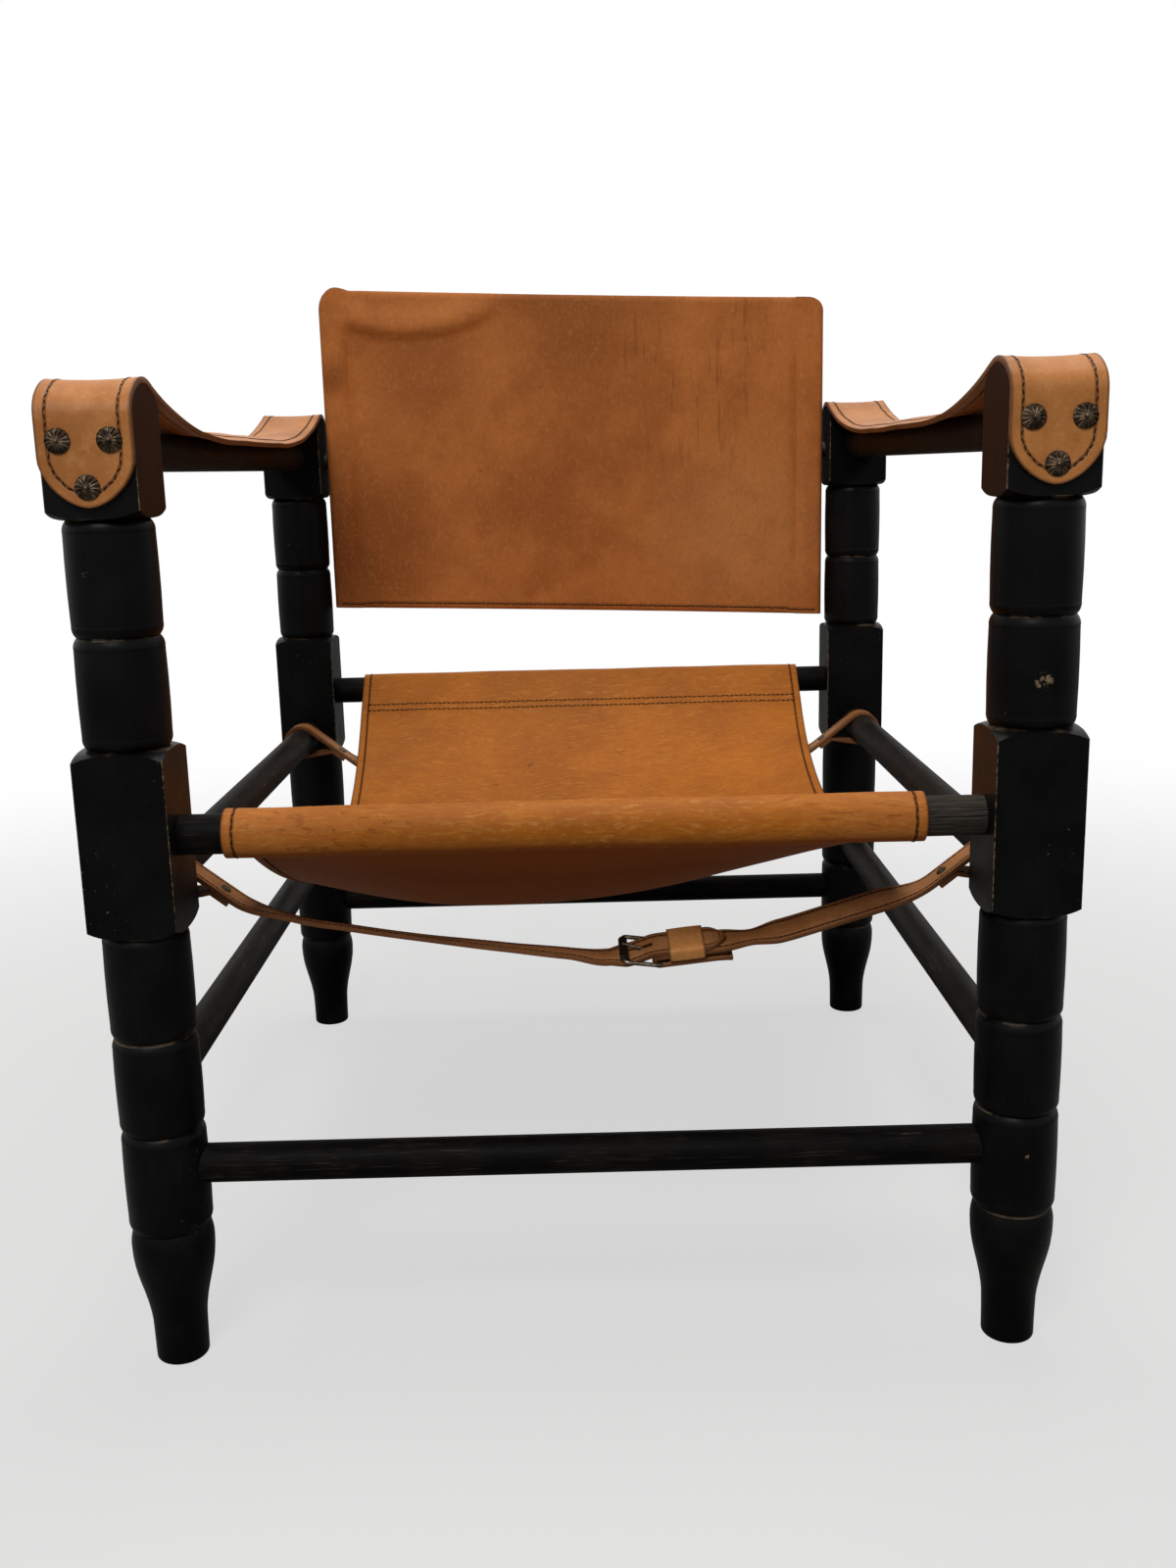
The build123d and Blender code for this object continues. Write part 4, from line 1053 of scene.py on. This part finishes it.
flat_across = across_at(-buckle_rise, buckle_tilt)
flat_along = Vector((cos(radians(buckle_rise)), 0, sin(radians(buckle_rise))))
flat_up = flat_along.cross(flat_across)


def flat_place(y, x, n):
    """A place in the buckle's tilted plane: x along the belt, n across its thickness, in mm."""
    return Vector((0, y, buckle_z)) + flat_along * x * MM + flat_up * n * MM


def flat_stations(y, line):
    """Stations in the buckle's plane, on a line of (x, n)."""
    return [(flat_place(y, x, n), flat_across) for x, n in line]


print("the buckle's bar, mm:", [round(part / MM, 1) for part in flat_place(0, 53, 0)])

# %% [markdown]
# Between its loop and the buckle each half passes a few points, measured on the photograph as
# (x, z, fall), and twists on its way. The two halves then lie over each other at the buckle.

# %% Stations of the two halves
left_points = ((209, 308, 17), (172, 300.6, 10.5), (127, 292.8, 9), (60, 283, 8), (14, 277, 7))
right_points = ((209, 309.7, 17), (175, 299.5, 16.5), (142, 290, 13.5))


def tongue_stations(y, twist):
    """Left half: loop, twist, under the roller, over the fold and on to the tip."""
    knots = [(loop_leaves(y, -1), 38, 0)]
    for x, z, fall in left_points:
        knots.append((Vector((-x * MM, y, z * MM)), fall, twist * min(1, 0.3 + x / 160)))
    knots.append((flat_place(y, 18, -1.9), -buckle_rise, 0.25 * buckle_tilt))
    stations = loop_stations(y, -1)
    for a, b in zip(knots, knots[1:]):
        stations += curve_between(a, b, 14)
    for number in range(5):
        turned = across_at(-buckle_rise, buckle_tilt * (0.25 + 0.75 * number / 5))
        stations.append((flat_place(y, 18 + 2.2 * number, -1.9), turned))
    rise = [(29 + 24 * n / 15, -1.9 + 5.4 * smooth(n / 15)) for n in range(16)]
    # Only the last 5 mm curl up, because the keeper slides as far as that.
    from_tip = (12.5, 9.5, 7, 5, 3.4, 2.2, 1.2, 0.5, 0.04)
    tip = [(102 - step, 3.5 + 2.6 * max(0, 1 - step / 5.4) ** 2) for step in from_tip]
    return stations + flat_stations(y, rise + line_points((54.5, 3.5), (89.5, 3.5), 9) + tip)


def buckle_stations(y, twist):
    """Right half: tail, fold round the buckle's bar, back over it, twist and loop."""
    flat_end = 98 if y < 0 else 112
    tail = [(x, n - 1.2 * max(0, (x - 92) / 14) ** 2) for x, n in line_points((106, -6.8), (53, -6.8), 14)]
    fold = trace(((53, -3.4), 3.4, -90, -270, 12), ((53, 0), (flat_end, 0), 14))
    stations = flat_stations(y, tail + fold)
    knots = [(flat_place(y, flat_end, 0), -buckle_rise, buckle_tilt)]
    if y < 0:
        knots.append((Vector((120 * MM, y, 285.6 * MM)), -8, 4))
    knots += [(Vector((x * MM, y, z * MM)), -fall, twist) for x, z, fall in reversed(right_points)]
    knots.append((loop_leaves(y, 1), -38, 0))
    for a, b in zip(knots, knots[1:]):
        stations += curve_between(a, b, 14)
    return stations + [(loop_leaves(y, 1), Vector((0, 1, 0)))] + list(reversed(loop_stations(y, 1)))


print("stations of a tongue:", len(tongue_stations(0, -12)))

# %% [markdown]
# A slot for the buckle's prong is cut through the tongue, and through the fold of the other half,
# with a Boolean. The cutter is a bar rounded by a bevel, added where the prong passes.

# %% A belt's rule and its slot
slot_rounding = 0.45


def station_rule(stations, tip):
    """The rule that lays a belt on its stations; tip rounds its last end."""
    rows = len(stations) - 1
    runs = run_lengths([place for place, _ in stations])
    points = [(*place, *across, run) for (place, across), run in zip(stations, runs)]

    def place(u, v):
        x, y, z, *across, run = at_row(points, v * rows)
        half = belt_width / 2
        left = runs[-1] - run
        if tip and left < half:
            half *= (1 - (1 - left / half) ** tip_power) ** (1 / tip_power)
            half += 0.02 * MM
        return Vector((x, y, z)) + Vector(across).normalized() * half * (2 * u - 1)

    def rim(u, v):
        run = at_row(points, v * rows)[-1]
        from_end = runs[-1] - run + (0 if tip else 2 * MM)
        return min((0.5 - abs(u - 0.5)) * belt_width, run + 2 * MM, from_end) / MM

    return place, rim, rows


def cut_slot(piece, y, x, n, size):
    """Cuts a rounded slot through a belt half, square to the buckle's plane."""
    clear_selection()
    bpy.ops.mesh.primitive_cube_add(size=1, location=(0, 0, 0))
    cutter = bpy.context.object
    cutter.dimensions = [s * MM for s in size]
    bpy.ops.object.transform_apply(location=False, rotation=False, scale=True)
    add_modifier(cutter, "BEVEL", width=slot_rounding * size[1] * MM, segments=4)
    apply_modifiers(cutter)
    turn = turned_to(flat_along, flat_across, flat_up)
    cutter.data.transform(Matrix.Translation(flat_place(y, x, n)) @ turn)
    add_modifier(piece, "BOOLEAN", operation="DIFFERENCE", solver="EXACT", object=cutter)
    apply_modifiers(piece)
    bpy.data.objects.remove(cutter)


print("a slot's ends are rounded by", slot_rounding, "of its width")

# %% [markdown]
# The front belt hangs 58 mm behind the front rail's axis, the rear one 68 mm before the rear
# rail's. Each has its own twists, and each half is sewn along both sides, on both faces.

# %% Lay and sew the belts
belt_places = {"front": (-272 * MM, -13, 20), "rear": (262 * MM, 36, 36)}
for end, (y, left_twist, right_twist) in belt_places.items():
    halves = (
        ("tongue", tongue_stations(y, left_twist), True, (43.9, 0.8, (11.2, 3.4, 14))),
        ("buckle", buckle_stations(y, right_twist), False, (51.5, -3.4, (12, 4.4, 14))),
    )
    for half, stations, tip, (slot_x, slot_n, slot_size) in halves:
        rule, rim, rows = station_rule(stations, tip)
        belt = lay_sheet(f"{end}_leather_{half}", 10, rows, rule, belt_t, 0, rim, None, 0.7 * MM)
        cut_slot(belt, y, slot_x, slot_n, slot_size)
        seam = belt_seam_mm * MM / belt_width
        first, last = (0.01, 0.93) if tip else (0.03, 0.99)
        lift = belt_t / 2 + 0.05 * MM
        sewn = edge_runs(rule, seam, first, last, (lift, -lift), 300)
        thread = sew(f"{end}_{half}_stitching", sewn, 4.4 * MM, 0.8)
        dress(belt, belt_leather, "frame")
        dress(thread, waxed_thread, "frame")
        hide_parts(f"{end}_belt_{half}_strap")
print("belts laid:", list(belt_places))

# %% [markdown]
# ## The keepers
# A keeper is a short, wide band of lighter leather that holds the tongue down. Its ends overlap
# beneath. It is laid the same way, as a ring in the plane across the belt, swelled a little.

# %% Lay the keepers
keeper_low, keeper_high = -2.0, 5.5
keeper_half = 12.9
keeper_x, keeper_long = 60.5, 26
keeper_t = 1.6 * MM


def keeper_ring():
    """The ring's middle line as (s across the belt, n), starting and ending underneath."""
    grow, r = 0.8, 2.0
    low, high, wide = keeper_low - grow, keeper_high + grow, keeper_half + grow
    ring = trace(
        ((-4, low), (wide - r, low), 8),
        ((wide - r, low + r), r, -90, 0, 5),
        ((wide, low + r), (wide, high - r), 3),
        ((wide - r, high - r), r, 0, 90, 5),
        ((wide - r, high), (r - wide, high), 14),
        ((r - wide, high - r), r, 90, 180, 5),
        ((-wide, high - r), (-wide, low + r), 3),
        ((r - wide, low + r), r, 180, 270, 5),
        ((r - wide, low), (-4.2, low), 4),
    )
    return ring + [(-4.2, low)]


def keeper_rim(u, v):
    """Millimetres from the keeper's side edges."""
    return min(u, 1 - u) * keeper_long


ring = keeper_ring()
for end, (y, _, _) in belt_places.items():

    def place_keeper(u, v, y=y):
        s, n = at_row(ring, v * (len(ring) - 1))
        swell = 0.35 * (1 - (2 * u - 1) ** 2)
        n += swell if n > (keeper_low + keeper_high) / 2 else -swell
        return flat_place(y, keeper_x + keeper_long * u, n) + flat_across * s * MM

    name = f"{end}_leather_keeper"
    keeper = lay_sheet(name, 12, len(ring) - 1, place_keeper, keeper_t, 0, keeper_rim, None, 0.4 * MM)
    dress(keeper, keeper_leather, f"{end}_keeper")
    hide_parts(f"{end}_belt_keeper")
bpy.data.objects.remove(one_stitch)
print("keepers laid")

# %% [markdown]
# ## Black paint on turned wood
# Posts and rails are a close-grained hardwood under a black-brown paint that has gone satin with handling.
# Under raking light the grain shows as fine lines along each piece. On the arrises of the square blocks the
# paint has rubbed through to brown wood, and a few chips show elsewhere; thin rings of the same colour in
# the turned grooves are painted highlights. The posts stand at the same distances from the middle on both
# sides, so the distance of a point from its post's axis comes from its object coordinates.


# %% Worn arrises and painted highlights in the grooves
groove_heights_mm = (103.5, 177.5, 246.5, 322, 448.4, 522, 597)


def arris_wear_and_groove_highlights(add, place, grit, patches, wear_and_groove_highlights):
    """Adds bare wood on the edges of the posts' square blocks and, in patches, a painted highlight of the
    same colour in their grooves.
    """
    x_part, y_part, z_part = add("SeparateXYZ", {0: place}).node.outputs
    offsets = []
    for part, half in ((x_part, half_x), (y_part, half_y)):
        off = add("Math", {0: part}, operation="ABSOLUTE")
        off = add("Math", {0: off, 1: half}, operation="SUBTRACT")
        offsets.append(add("Math", {0: off}, operation="ABSOLUTE"))
    arris = add("Math", {0: offsets[0], 1: offsets[1]}, operation="MINIMUM")
    arris = add("Math", {0: grit, 1: 2.4 * MM, 2: arris}, operation="MULTIPLY_ADD")
    arris = add("MapRange", {0: arris, 1: 30.4 * MM, 2: 31.0 * MM, 4: 0.8}, **SMOOTH)
    wear_and_groove_highlights = add("Math", {0: wear_and_groove_highlights, 1: arris}, operation="MAXIMUM")
    # Painted highlight: thin rings of the bare-wood colour in the turned grooves, in patches.
    for groove in groove_heights_mm:
        ring = add("Math", {0: z_part, 1: groove * MM, 2: 1.1 * MM}, operation="COMPARE")
        ring = add("Math", {0: ring, 1: patches}, operation="MULTIPLY")
        wear_and_groove_highlights = add("Math", {0: wear_and_groove_highlights, 1: ring}, operation="MAXIMUM")
    return wear_and_groove_highlights


print("grooves on a post:", len(groove_heights_mm))

# %% [markdown]
# One function makes the finish of posts and rails, since they are painted alike. What differs is
# the way of the grain, how much of it shows, and where the paint is chipped, rubbed or dull.


# %% Painted wood
def painted_wood(name, grain_axis, paint, grain_colour, grain_share, gloss, worn_places=(), dull_places=()):
    """Satin paint of two shades over wood whose grain runs along one axis. A worn place is (centre, radius):
    bare chips on a post, rubbed grain on a rail. A dull place has lost its gloss: only the posts have such
    places, and only they have chipped arrises and painted highlights in their grooves."""
    on_posts = bool(dull_places)
    material, add = new_material(name)
    place = add("TexCoord", {}, "Object")
    # Grain lines 1.2 mm apart and about 35 mm long.
    grain_mm = [1.2, 1.2, 1.2]
    grain_mm[grain_axis] = 35
    grain = add("Mapping", {0: place, "Scale": per_axis(grain_mm)})
    grain = add("TexNoise", {"Vector": grain, "Scale": 1.0, "Detail": 3.0, "Roughness": 0.6})
    cloud = add("TexNoise", {"Vector": place, "Scale": 1 / (45 * MM), "Detail": 5.0, "Roughness": 0.6})
    grit = add("TexNoise", {"Vector": place, "Scale": 1 / (4 * MM), "Detail": 4.0, "Roughness": 0.7})
    colour = tint(add, paint[0], paint[1], cloud, 0.4, 0.7)
    # The grain shows most where the paint has thinned, in patches a few centimetres wide.
    thin = add("MapRange", {0: cloud, 1: 0.42, 2: 0.62, 3: 0.35, 4: 1.0}, **SMOOTH)
    share = add("MapRange", {0: grain, 1: 0.55, 2: 0.78, 4: grain_share}, **SMOOTH)
    share = add("Math", {0: share, 1: thin}, operation="MULTIPLY")
    colour = add("Mix", {0: share, 6: colour, 7: grain_colour}, 2, **COLOUR)
    # Chips in a few places only: 2 to 4 mm wide on the posts, thin and long on the rails.
    rare = add("TexNoise", {"Vector": place, "Scale": 1 / (75 * MM), "Detail": 1.0})
    rare = add("MapRange", {0: rare, 1: 0.62, 2: 0.68}, **SMOOTH)
    flecks = grit if on_posts else grain
    wear_and_groove_highlights = add("MapRange", {0: flecks, 1: 0.64, 2: 0.68, 4: 0.8}, **SMOOTH)
    wear_and_groove_highlights = add("Math", {0: wear_and_groove_highlights, 1: rare}, operation="MULTIPLY")
    low, high = (0.5, 0.56) if on_posts else (0.25, 0.75)
    broken = add("MapRange", {0: flecks, 1: low, 2: high}, **SMOOTH)
    for centre, radius in worn_places:
        near = near_spot(add, place, centre, radius, 0.6, 0.9)
        near = add("Math", {0: near, 1: broken}, operation="MULTIPLY")
        wear_and_groove_highlights = add("Math", {0: wear_and_groove_highlights, 1: near}, operation="MAXIMUM")
    if on_posts:
        patches = add("MapRange", {0: cloud, 1: 0.52, 2: 0.64, 4: 0.35}, **SMOOTH)
        wear_and_groove_highlights = arris_wear_and_groove_highlights(add, place, grit, patches, wear_and_groove_highlights)
    # Bare wood in the chips and on the arrises; in the posts' grooves the same colour is a painted
    # highlight.
    bare_wood_and_highlight = "#85715a" if on_posts else grain_colour
    colour = add("Mix", {0: wear_and_groove_highlights, 6: colour, 7: bare_wood_and_highlight}, 2, **COLOUR)
    height = add("Math", {0: grain, 1: 0.3}, operation="MULTIPLY")
    for layer, depth in ((wear_and_groove_highlights, -0.5), (cloud, 1.2)):
        height = add("Math", {0: layer, 1: depth, 2: height}, operation="MULTIPLY_ADD")
    normal = add("Bump", {"Strength": 0.5, "Distance": 0.4 * MM, "Height": height})
    dull = 0.33 if on_posts else 0.5
    rough = add("MapRange", {0: cloud, 1: 0.35, 2: 0.7, 3: dull, 4: dull + 0.1}, **SMOOTH)
    for centre, radius in dull_places:
        near = near_spot(add, place, centre, radius, 0.8, 0.95)
        rough = add("Math", {0: rough, 1: near}, operation="MAXIMUM")
    rough = add("Math", {0: wear_and_groove_highlights, 1: 0.25, 2: rough}, operation="MULTIPLY_ADD")
    look = {"Base Color": colour, "Roughness": rough, "Normal": normal, "IOR": 1.5}
    surface = add("BsdfPrincipled", {**look, "Specular IOR Level": gloss})
    add("OutputMaterial", {"Surface": surface})
    return material


# %% [markdown]
# The CAD pieces keep their shape and only get a finish, chosen by what their names end with.


# %% Finish the wood
def give_finish(material, ends, starts=""):
    """Gives a finish to every CAD piece whose name ends and starts so."""
    for name, node in nodes.items():
        if name.endswith(ends) and name.startswith(starts):
            coat(node, material)


# Chips on the front right post, and the front rail's right end rubbed grey.
post_chips = (
    ((0.299, -0.357, 0.481), 0.007),
    ((0.301, -0.357, 0.150), 0.004),
    ((0.305, -0.352, 0.081), 0.005),
)
rail_rub = (((0.262, -0.34, 0.39), 0.05),)
# The back rubs past the inner faces of the rear posts' top blocks and has made them dull.
post_rubs = (((-0.27, 0.335, 0.64), 0.065), ((0.27, 0.335, 0.64), 0.065))
post_paint, cross_paint, side_paint = ("#060606", "#0d0c0c"), ("#090808", "#151210"), ("#100e0c", "#211b17")
posts = painted_wood("black_painted_turned_wood", 2, post_paint, "#1d1a18", 0.5, 0.06, post_chips, post_rubs)
cross_rails = painted_wood("black_painted_rail_across", 0, cross_paint, "#4b443d", 0.7, 0.035, rail_rub)
side_rails = painted_wood("black_painted_rail_along", 1, side_paint, "#4d443a", 0.9, 0.03)
uprights = painted_wood("bare_hardwood_upright", 2, ("#8a5f3a", "#9d7148"), "#6b4526", 0.6, 0.2)
give_finish(posts, "_post")
give_finish(cross_rails, ("_seat_rail", "_stretcher"), ("front_", "rear_"))
give_finish(side_rails, ("_rail", "_stretcher"), ("left_", "right_"))
give_finish(uprights, "_back_upright")
print("wood finished")

# %% [markdown]
# ## Metals
# The studs are fluted brass, patinated nearly black and rubbed bright on their ribs. The buckle
# is antiqued plated wire with a dark tumbled roller. Bolts and washers are blackened steel, and
# the rivets are brass gone green-black.


# %% Metal finishes
def worn_metal(name, dark, bright, roughness, patch):
    """A metal with patina: dark in patches, brighter where it is rubbed."""
    material, add = new_material(name)
    place = add("TexCoord", {}, "Object")
    patina = add("TexNoise", {"Vector": place, "Scale": 1 / (patch * MM), "Detail": 4.0, "Roughness": 0.65})
    colour = tint(add, dark, bright, patina, 0.38, 0.66)
    rough = add("MapRange", {0: patina, 1: 0.3, 2: 0.7, 3: roughness + 0.12, 4: roughness - 0.08}, **SMOOTH)
    normal = add("Bump", {"Strength": 0.35, "Distance": 0.1 * MM, "Height": patina})
    look = {"Metallic": 1.0, "Base Color": colour, "Roughness": rough, "Normal": normal}
    add("OutputMaterial", {"Surface": add("BsdfPrincipled", look)})
    return material


give_finish(worn_metal("patinated_fluted_brass", "#2c231b", "#5f5040", 0.5, 6.0), "_arm_studs")
plated_wire = worn_metal("antiqued_plated_wire", "#4f453a", "#8d8170", 0.36, 2.0)
give_finish(plated_wire, ("_buckle_frame", "_buckle_prong"))
give_finish(worn_metal("tumbled_steel_tube", "#332d27", "#554d43", 0.42, 2.5), "_buckle_roller")
give_finish(worn_metal("blackened_steel_bolt", "#262422", "#4a4642", 0.4, 4.0), "", "back_pivot")
give_finish(worn_metal("green_black_brass_rivet", "#2c2a20", "#5a543c", 0.45, 2.0), "_rivets")
print("metal finished")

# %% [markdown]
# ## Floor and light
# The photograph has a plain white ground and soft light from above and in front, a little
# stronger from the left. A pale floor carries the chair's shadow, a white world fills from all
# round, and two large soft lamps give the leather its sheen and the black posts their edges.

# %% Floor and light
clear_selection()
bpy.ops.mesh.primitive_plane_add(size=16, location=(0, 2, 0))
floor = bpy.context.object
floor.name = "studio_floor"
bpy.ops.object.transform_apply(location=True, rotation=False, scale=False)
floor_paper, add = new_material("matte_pale_paper")
paper = add("BsdfPrincipled", {"Base Color": "#a09f9c", "Roughness": 0.9})
white = add("Emission", {"Color": "#ffffff", "Strength": 1.0})
away = add("VectorMath", {0: add("TexCoord", {}, "Object")}, "Value", operation="LENGTH")
fade = add("MapRange", {0: away, 1: 0.5, 2: 2.2, 3: 0.62, 4: 1.0}, **SMOOTH)
seen = add("Math", {0: add("LightPath", {}, "Is Camera Ray"), 1: fade}, operation="MULTIPLY")
add("OutputMaterial", {"Surface": add("MixShader", {0: seen, 1: paper, 2: white})})
coat(floor, floor_paper)

bpy.context.scene.view_settings.view_transform = "Standard"
world = bpy.context.scene.world or bpy.data.worlds.new("studio_world")
bpy.context.scene.world = world
world.use_nodes = True
world.node_tree.nodes.clear()
add = partial(add_node, world)
rays = add("LightPath", {}).node.outputs
shown = add("Math", {0: rays["Is Camera Ray"], 1: rays["Is Glossy Ray"]}, operation="MAXIMUM")
shown = add("Math", {0: shown, 1: rays["Is Transmission Ray"]}, operation="MAXIMUM")
strength = add("MapRange", {0: shown, 3: 0.17, 4: 1.0})
sky = add("Background", {"Color": "#ffffff", "Strength": strength})
add("OutputWorld", {"Surface": sky})


def soft_lamp(name, place, aim, size, power):
    """A square soft lamp at a place, turned to aim at a point."""
    data = bpy.data.lights.new(name, "AREA")
    data.shape = "SQUARE"
    data.size = size
    data.energy = power
    turn = (Vector(aim) - Vector(place)).to_track_quat("-Z", "Y").to_matrix().to_4x4()
    link_new(name, data).matrix_world = Matrix.Translation(place) @ turn


soft_lamp("front_lamp", (-0.6, -2.2, 2.5), (0, 0, 0.5), 1.1, 50)
soft_lamp("top_lamp", (0.1, 0.3, 2.8), (0, 0, 0.4), 1.1, 40)
